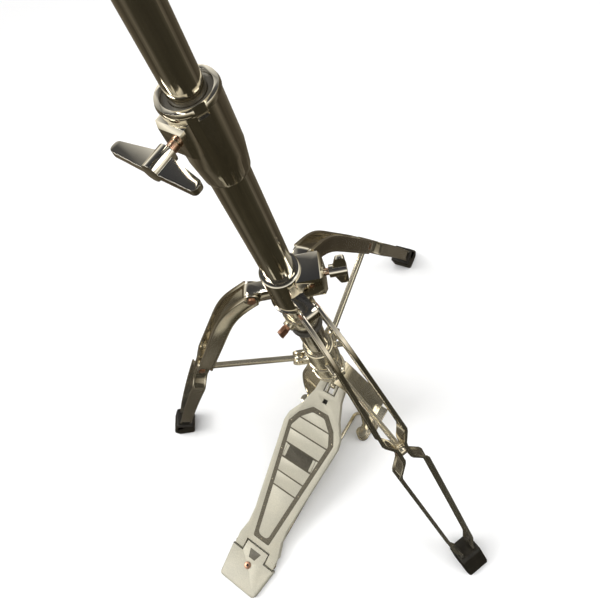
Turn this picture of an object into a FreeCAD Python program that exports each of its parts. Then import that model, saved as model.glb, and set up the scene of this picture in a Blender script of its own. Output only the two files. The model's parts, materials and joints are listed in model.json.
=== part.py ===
import FreeCAD, Part
import math
import os

# A hi-hat stand without its cymbals. Millimetres, +Z up. The origin is on the floor, on the
# axis of the tubes. The pedal points along -Y, so the player's heel is at the most negative Y.

V = FreeCAD.Vector
X_AXIS = V(1, 0, 0)
Y_AXIS = V(0, 1, 0)
Z_AXIS = V(0, 0, 1)
ORIGIN = V(0, 0, 0)
RUNNING = 0.05          # radial clearance of every running fit
THROUGH = 1.0           # how far a cutting tool runs past the face that it cuts

# Tubes
LOWER_TUBE_R = 14.3
TUBE_WALL = 1.5
LOWER_TUBE_BOTTOM = 184.0
LOWER_TUBE_TOP = 612.0
UPPER_TUBE_R = 11.1
UPPER_TUBE_BOTTOM = 470.0
UPPER_TUBE_TOP = 800.0
LOWER_BORE_R = LOWER_TUBE_R - TUBE_WALL
UPPER_BORE_R = UPPER_TUBE_R - TUBE_WALL
GUIDE_RING_HEIGHT = 24.0

# Height clamp
CLAMP_R = 18.2
CLAMP_RIM_R = 18.9
CLAMP_BOTTOM = 586.0
CLAMP_TAPER_TOP = 605.0
CLAMP_FOOT_R = 15.9
CLAMP_TOP = 648.0
CLAMP_RIM_HEIGHT = 4.0
CLAMP_AZIMUTH = 270.0
CLAMP_BOSS_REACH = 22.0
CLAMP_BOSS_HALF = 10.5
CLAMP_BOSS_Z = (619.0, 641.0)
CLAMP_BOSS_CHAMFER = 2.5
CLAMP_BOLT_Z = 630.0
CLAMP_BOLT_GAP = 6.0
CLAMP_BOLT_R = 3.2
CLAMP_NOTCH_AZIMUTH = 333.0
CLAMP_NOTCH_SIZE = (8.0, 7.0, 7.0)
BUSHING_R = 13.3
BUSHING_FLANGE_R = 15.4
BUSHING_FLANGE_HEIGHT = 9.0
BUSHING_RECESS = 2.0

# Wing bolts
WING_HUB_R = 6.0
WING_HUB_LENGTH = 16.0
WING_THICKNESS = 4.5
WING_ROOT = (2.0, 16.0)
WING_TIP = (8.0, 15.5)
WING_ROUND = 3.0
CLAMP_WING_SPAN = 30.0
CLAMP_WING_TURN = -6.0
COLLAR_WING_SPAN = 17.0
COLLAR_WING_TURN = 80.0
COLLAR_BOLT_GAP = 4.0
SCREW_TIP_GAP = 0.4
THUMB_NECK = (1.5, 3.0)
THUMB_WING_START = 2.5
THUMB_WING_LENGTH = 1.4
THUMB_WING_HALF = 2.0

# Tripod
LEG_AZIMUTHS = {"left": 218.0, "rear": 98.0, "right": 338.0}
COLLAR_R = 18.5
COLLAR_LIP_R = 20.5
COLLAR_LIP = 4.0
COLLAR_CHAMFER = 1.0
LEG_COLLAR_Z = (402.0, 454.0)
LEG_HINGE = (35.0, 421.0)
LEG_PIN_R = 3.0
LEG_LUG_HALF = 6.0
LEG_LUG_R = 8.5
COLLAR_BLOCK_AZIMUTH = 38.0
COLLAR_BLOCK_REACH = 37.0
COLLAR_BLOCK_HALF = 14.0
COLLAR_BLOCK_Z = (419.0, 449.0)
COLLAR_BLOCK_CHAMFER = 3.0
COLLAR_BOLT_Z = 434.0
STRUT_PIVOT = (150.0, 258.0)
LEG_LINE = [LEG_HINGE, (61.0, 401.0), (88.0, 363.0), STRUT_PIVOT, (220.0, 133.0), (279.0, 20.0)]
STRIP_HALF_HEIGHT = 8.5
STRIP_THICKNESS = 2.0
STRIP_LIP = 2.2
STRIP_GAP_COLLAR = 6.3
STRIP_GAP_UPPER_BOW = 12.3
STRIP_GAP_LOWER_BOW = 16.8
STRIP_GAP_SHIN = 11.8
STRIP_GAP_FOOT = 7.0
STRIP_GAP_PINCH = 3.3
STRIP_PINCH_HALF = 11.0
STRIP_PINCH_RAMP = 17.0
STRIP_FOOT_RAMP = 14.0
STRIP_CUT_REACH = 70.0
LEG_BAND_SAMPLES = 24
RIVET_HEAD = 2.0
RIVET_HEAD_EXTRA_R = 1.0
STRUT_HALF = 3.0
STRUT_HEIGHT = 8.0
STRUT_EYE_R = 6.5
STRUT_HINGE = (30.0, 234.0)
STRUT_PIN_R = 2.5
STRUT_COLLAR_Z = (222.5, 270.0)
STRUT_EAR_THICKNESS = 4.0
STRUT_EAR_R = 8.0
STRUT_EAR_GAP = 3.3
STRUT_PIN_CAP = 1.5
STRUT_SCREW_Z = 258.0
STRUT_SCREW_FLANGE = (5.0, 3.0)
STRUT_SCREW_HEAD = (3.0, 7.0)
BOOT_HALF_WIDTH = 16.0
BOOT_PROFILE = [(255.4, 34.6), (280.0, 47.8), (299.0, 13.0), (297.0, 0.0), (268.0, 0.0)]
BOOT_ROUND = 3.5
BOOT_GRIP = 34.0
BOOT_FLOOR = 6.0

# Memory ring under the leg collar, and the stop ring under that
MEMORY_RING_Z = (356.0, 372.0)
MEMORY_RING_R = 18.0
MEMORY_BOSS_R = 6.0
MEMORY_SCREW_AZIMUTH = 262.0
MEMORY_BOSS_REACH = 21.0
MEMORY_WING_HALF = 6.5
STOP_RING_Z = (334.0, 341.0)
STOP_RING_R = 17.5

# Pedal frame
FRAME_OUTER = [(54.0, 0.0), (54.0, 55.0), (50.0, 108.0), (37.0, 156.0)]
FRAME_INNER = [(50.0, 0.0), (50.0, 54.0), (46.2, 106.5), (33.8, 153.0)]
FRAME_TOP = 184.0
FRAME_TOP_HALF = (17.0, 15.0)
FRAME_TOP_THICKNESS = 4.0
FRAME_DEPTH = [(-27.0, 0.0), (-24.0, 70.0), (-17.0, 130.0), (-17.0, 184.0)]
FRAME_FLANGE = (66.0, 20.0, 3.0)
FRAME_ROD_HOLE_R = 5.0
HUB_R = 19.5
HUB_TOP = 222.0
HUB_FOOT_R = 22.0
HUB_FOOT = 6.0
HUB_SCREW_Z = 205.0
HUB_SCREW_HEAD = (5.0, 3.5)
HUB_SCREW_KEY = (2.6, 1.5)
SPUR_XY = (52.0, -36.0)
SPUR_TAB_HALF = 9.0
SPUR_TAB_Z = (6.0, 11.0)
SPUR_R = 3.5
SPUR_KNOB_R = 8.0
SPUR_KNOB_HEIGHT = 12.0
SPUR_TIP_R = 0.6
SPUR_TIP = (0.6, 6.6)
SPUR_TOP = 34.0

# Heel plate and radius rod
HINGE_Y = -268.0
HINGE_Z = 11.5
HINGE_PIN_R = 2.5
KNUCKLE_R = 5.5
HEEL_TOP = 15.0
HEEL_FRONT_Y = -274.2
HEEL_BACK_Y = -320.0
HEEL_FRONT_HALF = 37.5
HEEL_BACK_HALF = 31.0
HEEL_SKIN = 3.0
HEEL_PAD = 3.0
HEEL_PAD_INSET = 1.0
HEEL_CORNER_R = 5.0
HEEL_RIM_R = 3.0
HEEL_SCREW_Y = -288.0
HEEL_SCREW_R = 2.5
HEEL_SCREW_HEAD = (5.0, 1.6)
HINGE_PIN_HALF = 36.0
TONGUE_KNUCKLE_R = 3.5
TONGUE_HALF = 20.0
TONGUE_END_Y = -259.0
RADIUS_ROD_R = 2.5
RADIUS_ROD_X = 24.0
RADIUS_ROD_Z = 5.65
RADIUS_ROD_BACK_Y = -302.0
RADIUS_ROD_HOOK_Y = -8.0
RADIUS_ROD_BEND = 9.0
RADIUS_ROD_END_X = 53.0

# Footboard, in its own plane: u runs from the hinge to the toe, v across, n up from the hinge
BOARD_ANGLE = 22.4
BOARD_SIDE = [(0.0, 35.0), (14.0, 35.0), (36.0, 29.5), (60.0, 29.5), (160.0, 41.0), (200.0, 46.0),
              (215.0, 43.5), (236.0, 31.5), (262.0, 22.0), (290.0, 18.5)]
BOARD_SKIN = 3.0
BOARD_FLANGE = 7.0
BOARD_CORNER_R = (4.0, 3.0)
BOARD_NOTCH_U = 13.0
BOARD_EAR_FROM = 21.0
BOARD_KNUCKLE_FROM = 27.8
BOARD_KNUCKLE_TOP = 3.6
TOE_WINDOW = (268.0, 287.6, 8.5)
SQUARE_HOLE_U = 254.0
SQUARE_HOLE = 7.0
INLAY_OUTER = [(22.0, 14.0), (203.0, 39.0), (222.0, 30.0), (239.0, 13.0)]
INLAY_INNER = [(29.0, 8.5), (199.0, 32.0), (216.5, 24.5), (231.5, 10.0)]
INLAY_ROUND = (3.0, 7.0)
INLAY_DEPTH = 0.8
INLAY_PROUD = 0.3
LINE_FIRST_U = 107.0
LINE_PITCH = 21.8
LINE_COUNT = 6
LINE_WIDTH = 1.2
PLATE_U = (151.2, 171.8)
PLATE_HALF = 25.0
PLATE_PROUD = 0.2
TOE_PIN = (281.0, -2.0)
TOE_PIN_R = 2.0
TOE_PIN_HALF = 8.5
TOE_LUG = (4.2, 7.2)
TOE_LUG_R = 4.0
TOE_LUG_BACK = 3.0
TOE_LUG_FRONT = 1.5
TOE_LUG_ROOT = 0.5

# Pull rod train
LINK_LENGTH = 38.0
LINK_HALF_THICKNESS = 3.0
LINK_BAR_HALF = 2.5
LINK_EYE_R = 5.5
LINK_TOP_EYE_R = 4.5
LINK_LOOSE_HOLE_R = 3.9
ROD_R = 3.0
YOKE_R = 8.5
YOKE_BELOW = 8.0
YOKE_ABOVE = 18.0
YOKE_SLOT_HALF = 3.2
YOKE_ROOF = 2.0
YOKE_PIN_SHORT = 0.3
ROD_CHAMFER = 1.0
ROD_JOINT_Z = 572.0
ROD_TOP = 1080.0
COUPLER_R = 6.0
COUPLER_HALF = 16.0
GUIDE_BUSH_HEIGHT = 14.0
SPRING_BOTTOM = 199.2
SPRING_TOP = 288.8
SPRING_R = 8.5
SPRING_WIRE_R = 1.1
SPRING_TURNS = 13
SPRING_COLLAR_Z = (290.0, 300.0)
SPRING_COLLAR_R = 11.0

# Cymbal seat
SEAT_BASE_Z = (786.0, 812.0)
SEAT_BASE_R = 15.0
SEAT_BORE_R = 4.5
SEAT_HINGE = (18.0, 818.0)
SEAT_ARM_HALF = 5.0
SEAT_ARM_HEIGHT = 8.0
SEAT_FORK_HALF = 9.0
SEAT_FORK_R = 4.5
SEAT_FORK_FROM_Y = 8.0
SEAT_FORK_FOOT = 12.0
SEAT_FORK_GAP_HALF = 4.2
SEAT_FORK_GAP_DEPTH = 5.0
SEAT_LUG_HALF = 4.0
SEAT_LUG_R = 4.0
SEAT_RELIEF_R = 5.2
SEAT_RELIEF_HALF = 9.4
SEAT_CUP_CHAMFER = 3.0
SEAT_CUP_R = 24.0
SEAT_CUP_Z = (818.0, 823.0)
SEAT_SHOULDER_Z = 834.0
SEAT_SHOULDER_R = 8.5
SEAT_NECK_Z = 846.0
SEAT_NECK_R = 6.2
SEAT_HOLE_R = 5.4
SEAT_FELT_Z = (823.0, 834.0)
SEAT_FELT_R = 20.0
SEAT_FELT_ROUND = 2.5
TILT_SCREW_Y = -19.0
TILT_SCREW_R = 2.5
TILT_KNOB_R = 6.0
TILT_KNOB_Z = (770.8, 782.8)
TILT_TIP_GAP = 0.2

# Clutch
CLUTCH_BOTTOM = 940.0
CLUTCH_TOP = 1012.0
CLUTCH_SLEEVE_R = 6.0
CLUTCH_HEAD_R = 9.5
CLUTCH_HEAD_BOTTOM = 992.0
CLUTCH_NUT_Z = (942.0, 954.0)
CLUTCH_NUT_R = 13.0
CLUTCH_FELTS_Z = [(954.0, 964.0), (965.0, 975.0)]
CLUTCH_FELT_R = 17.0
CLUTCH_FELT_ROUND = 2.0
LOCK_NUTS_Z = [(975.0, 983.0), (984.0, 991.0)]
LOCK_NUT_R = 12.0
CLUTCH_SCREW_Z = 1002.0
CLUTCH_BOSS_R = 6.0
CLUTCH_BOSS_REACH = 13.5
CLUTCH_HEAD_CHAMFER = 1.0
CLUTCH_WING_HALF = 8.5
CLUTCH_TIP_GAP = 0.3
NUT_GRIPS = 6
NUT_GRIP_R = 3.0
NUT_GRIP_OUTSET = 1.2


def rod(radius, low, high, x=0.0, y=0.0):
    """An upright cylinder."""
    return Part.makeCylinder(radius, high - low, V(x, y, low))


def ring(outer, inner, low, high, x=0.0, y=0.0):
    """An upright tube."""
    return rod(outer, low, high, x, y).cut(rod(inner, low - THROUGH, high + THROUGH, x, y))


def block(x0, x1, y0, y1, z0, z1):
    """A box between two corners."""
    return Part.makeBox(x1 - x0, y1 - y0, z1 - z0, V(x0, y0, z0))


def cross_rod(radius, y, z, x0, x1):
    """A cylinder along X."""
    return Part.makeCylinder(radius, x1 - x0, V(x0, y, z), X_AXIS)


def side_rod(radius, r, z, y0, y1):
    """A cylinder along Y, at radius r on the X axis."""
    return Part.makeCylinder(radius, y1 - y0, V(r, y0, z), Y_AXIS)


def turned(shape, azimuth):
    """A copy turned about the tube axis, from +X to the given azimuth."""
    copy = shape.copy()
    copy.rotate(ORIGIN, Z_AXIS, azimuth)
    return copy


def moved(shape, x, y, z):
    """A copy shifted by a distance."""
    copy = shape.copy()
    copy.translate(V(x, y, z))
    return copy


def mirrored_x(shape):
    """The mirror image across the pedal's middle plane."""
    return shape.mirror(ORIGIN, X_AXIS)


def fused(*shapes):
    """One solid from several that meet."""
    return shapes[0].fuse(list(shapes[1:])).removeSplitter()


def group(*shapes):
    """Separate solids kept side by side in one sub-part."""
    return Part.makeCompound(list(shapes))


def upright_edges(shape):
    """The straight edges that run along Z."""
    found = []
    for edge in shape.Edges:
        if not isinstance(edge.Curve, Part.Line):
            continue
        if abs(edge.tangentAt(edge.FirstParameter).z) > 0.999:
            found.append(edge)
    return found


def plan_prism(points, low, high, round_radius=0.0):
    """A closed outline in plan, raised between two heights, with its corners rounded."""
    corners = [V(x, y, low) for x, y in points]
    solid = Part.Face(Part.makePolygon(corners + corners[:1])).extrude(V(0, 0, high - low))
    if round_radius > 0.0:
        solid = solid.makeFillet(round_radius, upright_edges(solid))
    return solid


def side_prism(points, y0, y1):
    """A closed outline in the XZ plane, extruded along Y."""
    corners = [V(x, y0, z) for x, z in points]
    return Part.Face(Part.makePolygon(corners + corners[:1])).extrude(V(0, y1 - y0, 0))


def smooth_line(points):
    """A spline through points of the XZ plane."""
    curve = Part.BSplineCurve()
    curve.interpolate([V(x, 0, z) for x, z in points])
    return curve


def wing_bolt(shank_length, span):
    """A two-winged bolt along +X: the shank ends at the origin, the hub stands beyond it."""
    shank = Part.makeCylinder(CLAMP_BOLT_R, shank_length, V(-shank_length, 0, 0), X_AXIS)
    hub = Part.makeCylinder(WING_HUB_R, WING_HUB_LENGTH, ORIGIN, X_AXIS)
    outline = [(WING_ROOT[0], 0.0), (WING_ROOT[1], 0.0), (WING_TIP[1], span), (WING_TIP[0], span)]
    blade = plan_prism(outline, -WING_THICKNESS / 2.0, WING_THICKNESS / 2.0, WING_ROUND)
    return fused(shank, hub, blade, blade.mirror(ORIGIN, Y_AXIS))


def radial_wing_bolt(tip_r, shoulder, z, span, turn, azimuth):
    """A wing bolt that points at the tube axis, with its hub from the shoulder outwards."""
    bolt = wing_bolt(shoulder - tip_r, span)
    bolt.rotate(ORIGIN, X_AXIS, turn)
    return turned(moved(bolt, shoulder, 0, z), azimuth)


def square_boss(inner, reach, half, heights, chamfer):
    """A square boss on the +X side, with its outer edges bevelled."""
    boss = block(inner, reach, -half, half, heights[0], heights[1])
    face = [e for e in boss.Edges if e.BoundBox.XMin > reach - chamfer]
    return boss.makeChamfer(chamfer, face)


def lower_tube():
    return ring(LOWER_TUBE_R, LOWER_BORE_R, LOWER_TUBE_BOTTOM, LOWER_TUBE_TOP)


def clamp_profile():
    """Half section of the clamp's outside, with its rolled rim."""
    rim_low = CLAMP_TOP - CLAMP_RIM_HEIGHT
    rim_mid = CLAMP_TOP - CLAMP_RIM_HEIGHT / 2.0
    return [(0.0, CLAMP_BOTTOM), (CLAMP_FOOT_R, CLAMP_BOTTOM), (CLAMP_R, CLAMP_TAPER_TOP),
            (CLAMP_R, rim_low), (CLAMP_RIM_R, rim_low + THROUGH), (CLAMP_RIM_R, rim_mid),
            (CLAMP_R, CLAMP_TOP), (0.0, CLAMP_TOP)]


def height_clamp():
    corners = [V(r, 0, z) for r, z in clamp_profile()]
    body = Part.Face(Part.makePolygon(corners + corners[:1])).revolve(ORIGIN, Z_AXIS, 360)
    boss = square_boss(BUSHING_FLANGE_R, CLAMP_BOSS_REACH, CLAMP_BOSS_HALF, CLAMP_BOSS_Z,
                       CLAMP_BOSS_CHAMFER)
    body = fused(body, turned(boss, CLAMP_AZIMUTH))
    bolt_hole = cross_rod(CLAMP_BOLT_R + RUNNING, 0.0, CLAMP_BOLT_Z, 0.0, CLAMP_BOSS_REACH + THROUGH)
    length, width, depth = CLAMP_NOTCH_SIZE
    notch = block(BUSHING_FLANGE_R, BUSHING_FLANGE_R + length, -width / 2.0, width / 2.0,
                  CLAMP_TOP - depth, CLAMP_TOP + THROUGH)
    flange_low = CLAMP_TOP - BUSHING_RECESS - BUSHING_FLANGE_HEIGHT
    for tool in (rod(LOWER_TUBE_R, CLAMP_BOTTOM - THROUGH, LOWER_TUBE_TOP),
                 rod(BUSHING_R, LOWER_TUBE_TOP - THROUGH, CLAMP_TOP + THROUGH),
                 rod(BUSHING_FLANGE_R, flange_low, CLAMP_TOP + THROUGH),
                 turned(bolt_hole, CLAMP_AZIMUTH), turned(notch, CLAMP_NOTCH_AZIMUTH)):
        body = body.cut(tool)
    return body


def clamp_bushing():
    top = CLAMP_TOP - BUSHING_RECESS
    sleeve = rod(BUSHING_R, LOWER_TUBE_TOP, top)
    flange = rod(BUSHING_FLANGE_R, top - BUSHING_FLANGE_HEIGHT, top)
    bore = rod(UPPER_TUBE_R + RUNNING, LOWER_TUBE_TOP - THROUGH, top + THROUGH)
    return fused(sleeve, flange).cut(bore)


def clamp_wing_bolt():
    """The clamp's wing bolt, on the pedal side, with its wings nearly level."""
    return radial_wing_bolt(BUSHING_R + SCREW_TIP_GAP, CLAMP_BOSS_REACH + CLAMP_BOLT_GAP,
                            CLAMP_BOLT_Z, CLAMP_WING_SPAN, CLAMP_WING_TURN, CLAMP_AZIMUTH)


def collar_body(low, high):
    """A sleeve that turns or slides on the lower tube, with a lip at its foot."""
    sleeve = rod(COLLAR_R, low, high)
    top = [e for e in sleeve.Edges if e.BoundBox.ZMin > high - COLLAR_CHAMFER]
    return fused(sleeve.makeChamfer(COLLAR_CHAMFER, top), rod(COLLAR_LIP_R, low, low + COLLAR_LIP))


def leg_lug():
    """The radial lug that a leg hinges on, on the +X side."""
    arm = block(LOWER_TUBE_R, LEG_HINGE[0], -LEG_LUG_HALF, LEG_LUG_HALF,
                LEG_HINGE[1] - LEG_LUG_R, LEG_HINGE[1] + LEG_LUG_R)
    eye = side_rod(LEG_LUG_R, LEG_HINGE[0], LEG_HINGE[1], -LEG_LUG_HALF, LEG_LUG_HALF)
    return fused(arm, eye)


def leg_collar():
    """The sliding collar that the three legs hinge on, with its bolt block."""
    body = collar_body(*LEG_COLLAR_Z)
    boss = square_boss(0.0, COLLAR_BLOCK_REACH, COLLAR_BLOCK_HALF, COLLAR_BLOCK_Z, COLLAR_BLOCK_CHAMFER)
    body = fused(body, turned(boss, COLLAR_BLOCK_AZIMUTH),
                 *[turned(leg_lug(), azimuth) for azimuth in LEG_AZIMUTHS.values()])
    body = body.cut(rod(LOWER_TUBE_R + RUNNING, LEG_COLLAR_Z[0] - THROUGH, LEG_COLLAR_Z[1] + THROUGH))
    for azimuth in LEG_AZIMUTHS.values():
        hole = side_rod(LEG_PIN_R + RUNNING, LEG_HINGE[0], LEG_HINGE[1], -COLLAR_R, COLLAR_R)
        body = body.cut(turned(hole, azimuth))
    hole = cross_rod(CLAMP_BOLT_R + RUNNING, 0.0, COLLAR_BOLT_Z, 0.0, COLLAR_BLOCK_REACH + THROUGH)
    return body.cut(turned(hole, COLLAR_BLOCK_AZIMUTH))


def collar_wing_bolt():
    """The leg collar's wing bolt, with its wings nearly upright."""
    return radial_wing_bolt(LOWER_TUBE_R + SCREW_TIP_GAP, COLLAR_BLOCK_REACH + COLLAR_BOLT_GAP,
                            COLLAR_BOLT_Z, COLLAR_WING_SPAN, COLLAR_WING_TURN, COLLAR_BLOCK_AZIMUTH)


def leg_line_frame():
    """The leg's chord: its length, its direction and its normal, from hinge to foot."""
    dx = LEG_LINE[-1][0] - LEG_LINE[0][0]
    dz = LEG_LINE[-1][1] - LEG_LINE[0][1]
    length = math.hypot(dx, dz)
    return length, V(dx / length, 0, dz / length), V(-dz / length, 0, dx / length)


def leg_band(half_height, y0, y1):
    """The arched side shape of a leg, extruded across it."""
    curve = smooth_line(LEG_LINE)
    upper = []
    lower = []
    first = curve.FirstParameter
    span = curve.LastParameter - first
    for index in range(LEG_BAND_SAMPLES + 1):
        parameter = first + span * index / LEG_BAND_SAMPLES
        point = curve.value(parameter)
        tangent = curve.tangent(parameter)[0]
        normal = V(-tangent.z, 0, tangent.x)
        upper.append(point + normal * half_height)
        lower.append(point - normal * half_height)
    edges = []
    for row in (upper, lower):
        side = Part.BSplineCurve()
        side.interpolate(row)
        edges.append(side.toShape())
    start = Part.makeLine(upper[0], lower[0])
    end = Part.makeLine(upper[-1], lower[-1])
    face = Part.Face(Part.Wire([edges[0], end, edges[1].reversed(), start]))
    face.translate(V(0, y0, 0))
    return face.extrude(V(0, y1 - y0, 0))


def strip_offsets():
    """The strip's distance from the leg's middle plane, by distance along the chord."""
    length, along, _ = leg_line_frame()
    pivot = V(STRUT_PIVOT[0] - LEG_HINGE[0], 0, STRUT_PIVOT[1] - LEG_HINGE[1]).dot(along)
    pinch_from = pivot - STRIP_PINCH_HALF
    pinch_to = pivot + STRIP_PINCH_HALF
    grip = length - BOOT_GRIP
    return [(-LEG_LUG_R, STRIP_GAP_COLLAR), (LEG_LUG_R, STRIP_GAP_COLLAR),
            (pinch_from - STRIP_PINCH_RAMP, STRIP_GAP_UPPER_BOW), (pinch_from, STRIP_GAP_PINCH),
            (pinch_to, STRIP_GAP_PINCH), (pinch_to + STRIP_PINCH_RAMP, STRIP_GAP_LOWER_BOW),
            (grip - STRIP_FOOT_RAMP, STRIP_GAP_SHIN), (grip, STRIP_GAP_FOOT),
            (length - BOOT_FLOOR, STRIP_GAP_FOOT)]


def strip_ribbon(inner, outer):
    """A wall that follows the strip's offsets, between two distances outside them."""
    _, along, normal = leg_line_frame()
    start = V(LEG_HINGE[0], 0, LEG_HINGE[1])
    near = [start + along * t + V(0, w + inner, 0) for t, w in strip_offsets()]
    far = [start + along * t + V(0, w + outer, 0) for t, w in reversed(strip_offsets())]
    corners = [corner - normal * STRIP_CUT_REACH for corner in near + far]
    face = Part.Face(Part.makePolygon(corners + corners[:1]))
    return face.extrude(normal * (2.0 * STRIP_CUT_REACH))


def leg_strip():
    """One pressed channel of a leg on the +X side, on the +Y side of the leg's plane."""
    width = STRIP_THICKNESS + STRIP_LIP
    reach = STRIP_GAP_LOWER_BOW + width + THROUGH
    outside = leg_band(STRIP_HALF_HEIGHT, 0.0, reach)
    inside = leg_band(STRIP_HALF_HEIGHT - STRIP_THICKNESS, 0.0, reach)
    channel = outside.common(strip_ribbon(0.0, width))
    channel = channel.cut(inside.common(strip_ribbon(STRIP_THICKNESS, width + THROUGH)))
    eye = side_rod(LEG_LUG_R, LEG_HINGE[0], LEG_HINGE[1], STRIP_GAP_COLLAR,
                   STRIP_GAP_COLLAR + STRIP_THICKNESS)
    channel = fused(channel, eye)
    return channel.cut(side_rod(LEG_PIN_R, LEG_HINGE[0], LEG_HINGE[1], 0.0, reach))


def leg_boot(strips):
    """The rubber boot: a block with rounded edges, hollowed to take the two strips."""
    boot = side_prism(BOOT_PROFILE, -BOOT_HALF_WIDTH, BOOT_HALF_WIDTH)
    rounded = [e for e in boot.Edges if e.BoundBox.ZMax > THROUGH]
    boot = boot.makeFillet(BOOT_ROUND, rounded)
    for strip in strips:
        boot = boot.cut(strip)
    pieces = sorted(boot.Solids, key=lambda solid: solid.Volume)
    return pieces[-1]


def rivet_head(radius, place, gap, side):
    """A rivet head on one face of a strip, a gap away from the leg's middle plane."""
    y0 = gap if side > 0.0 else -gap - RIVET_HEAD
    return side_rod(radius + RIVET_HEAD_EXTRA_R, place[0], place[1], y0, y0 + RIVET_HEAD)


def leg_rivets():
    """The hinge pin, with its heads, and the two rivet heads outside the strut's pivot."""
    outside = STRIP_GAP_COLLAR + STRIP_THICKNESS
    pin = side_rod(LEG_PIN_R, LEG_HINGE[0], LEG_HINGE[1], -outside, outside)
    caps = [rivet_head(LEG_PIN_R, LEG_HINGE, outside, side) for side in (-1.0, 1.0)]
    pivot_gap = STRIP_GAP_PINCH + STRIP_THICKNESS
    heads = [rivet_head(LEG_PIN_R, STRUT_PIVOT, pivot_gap, side) for side in (-1.0, 1.0)]
    return group(fused(pin, *caps), *heads)


def leg_nodes():
    """The pressed strips, boot and rivets of each leg, by node name."""
    strip_a = leg_strip()
    strip_b = strip_a.mirror(ORIGIN, Y_AXIS)
    boot = leg_boot([strip_a, strip_b])
    rivets = leg_rivets()
    nodes = {}
    for name, azimuth in LEG_AZIMUTHS.items():
        nodes["leg_%s_strips" % name] = group(turned(strip_a, azimuth), turned(strip_b, azimuth))
        nodes["leg_%s_boot" % name] = turned(boot, azimuth)
        nodes["leg_%s_rivets" % name] = turned(rivets, azimuth)
    return nodes


def strut():
    """The flat bar from the strut collar to the leg's pivot, on the +X side."""
    dx = STRUT_PIVOT[0] - STRUT_HINGE[0]
    dz = STRUT_PIVOT[1] - STRUT_HINGE[1]
    half = STRUT_HEIGHT / 2.0
    bar = block(0.0, math.hypot(dx, dz), -STRUT_HALF, STRUT_HALF, -half, half)
    bar.rotate(ORIGIN, Y_AXIS, -math.degrees(math.atan2(dz, dx)))
    bar.translate(V(STRUT_HINGE[0], 0, STRUT_HINGE[1]))
    eyes = [side_rod(STRUT_EYE_R, place[0], place[1], -STRUT_HALF, STRUT_HALF)
            for place in (STRUT_HINGE, STRUT_PIVOT)]
    hole = side_rod(STRUT_PIN_R + RUNNING, STRUT_HINGE[0], STRUT_HINGE[1], -STRUT_HEIGHT, STRUT_HEIGHT)
    return fused(bar, *eyes).cut(hole)


def strut_ears():
    """The pair of ears that a strut hinges between, on the +X side."""
    ears = []
    for start in (STRUT_EAR_GAP, -STRUT_EAR_GAP - STRUT_EAR_THICKNESS):
        end = start + STRUT_EAR_THICKNESS
        arm = block(LOWER_TUBE_R, STRUT_HINGE[0], start, end,
                    STRUT_HINGE[1] - STRUT_EAR_R, STRUT_HINGE[1] + STRUT_EAR_R)
        ears.append(fused(arm, side_rod(STRUT_EAR_R, STRUT_HINGE[0], STRUT_HINGE[1], start, end)))
    return ears


def strut_collar():
    """The swivelling collar low on the tube that the three struts hinge on."""
    body = collar_body(*STRUT_COLLAR_Z)
    arms = []
    for azimuth in LEG_AZIMUTHS.values():
        arms.extend(turned(ear, azimuth) for ear in strut_ears())
    body = fused(body, *arms)
    body = body.cut(rod(LOWER_TUBE_R + RUNNING, STRUT_COLLAR_Z[0] - THROUGH, STRUT_COLLAR_Z[1] + THROUGH))
    for azimuth in LEG_AZIMUTHS.values():
        throat = block(COLLAR_R, STRUT_HINGE[0], -STRUT_EAR_GAP, STRUT_EAR_GAP,
                       STRUT_HINGE[1] - 2.0 * STRUT_EAR_R, STRUT_HINGE[1] + STRUT_EAR_R)
        hole = side_rod(STRUT_PIN_R, STRUT_HINGE[0], STRUT_HINGE[1], -COLLAR_R, COLLAR_R)
        body = body.cut(turned(throat, azimuth)).cut(turned(hole, azimuth))
    hole = cross_rod(STRUT_PIN_R, 0.0, STRUT_SCREW_Z, 0.0, COLLAR_LIP_R)
    return body.cut(turned(hole, COLLAR_BLOCK_AZIMUTH))


def strut_pins():
    half = STRUT_EAR_GAP + STRUT_EAR_THICKNESS
    pins = []
    for azimuth in LEG_AZIMUTHS.values():
        pin = side_rod(STRUT_PIN_R, STRUT_HINGE[0], STRUT_HINGE[1], -half, half)
        caps = [side_rod(STRUT_PIN_R + STRUT_PIN_CAP, STRUT_HINGE[0], STRUT_HINGE[1], y, y + STRUT_PIN_CAP)
                for y in (-half - STRUT_PIN_CAP, half)]
        pins.append(turned(fused(pin, *caps), azimuth))
    return group(*pins)


def strut_collar_screw():
    """A square-headed key screw that locks the tripod's swivel."""
    flange_r, flange = STRUT_SCREW_FLANGE
    head_half, head = STRUT_SCREW_HEAD
    z = STRUT_SCREW_Z
    under_head = COLLAR_R + flange
    shank = cross_rod(STRUT_PIN_R, 0.0, z, LOWER_TUBE_R + SCREW_TIP_GAP, under_head)
    washer = cross_rod(flange_r, 0.0, z, COLLAR_R, under_head)
    square = block(under_head, under_head + head, -head_half, head_half, z - head_half, z + head_half)
    return turned(fused(shank, washer, square), COLLAR_BLOCK_AZIMUTH)


def memory_ring():
    """The clamping ring that marks the leg collar's lowest place."""
    low, high = MEMORY_RING_Z
    middle = (low + high) / 2.0
    boss = cross_rod(MEMORY_BOSS_R, 0.0, middle, LOWER_TUBE_R, MEMORY_BOSS_REACH)
    body = fused(rod(MEMORY_RING_R, low, high), turned(boss, MEMORY_SCREW_AZIMUTH))
    body = body.cut(rod(LOWER_TUBE_R, low - THROUGH, high + THROUGH))
    hole = cross_rod(STRUT_PIN_R + RUNNING, 0.0, middle, 0.0, MEMORY_BOSS_REACH + THROUGH)
    return body.cut(turned(hole, MEMORY_SCREW_AZIMUTH))


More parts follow.
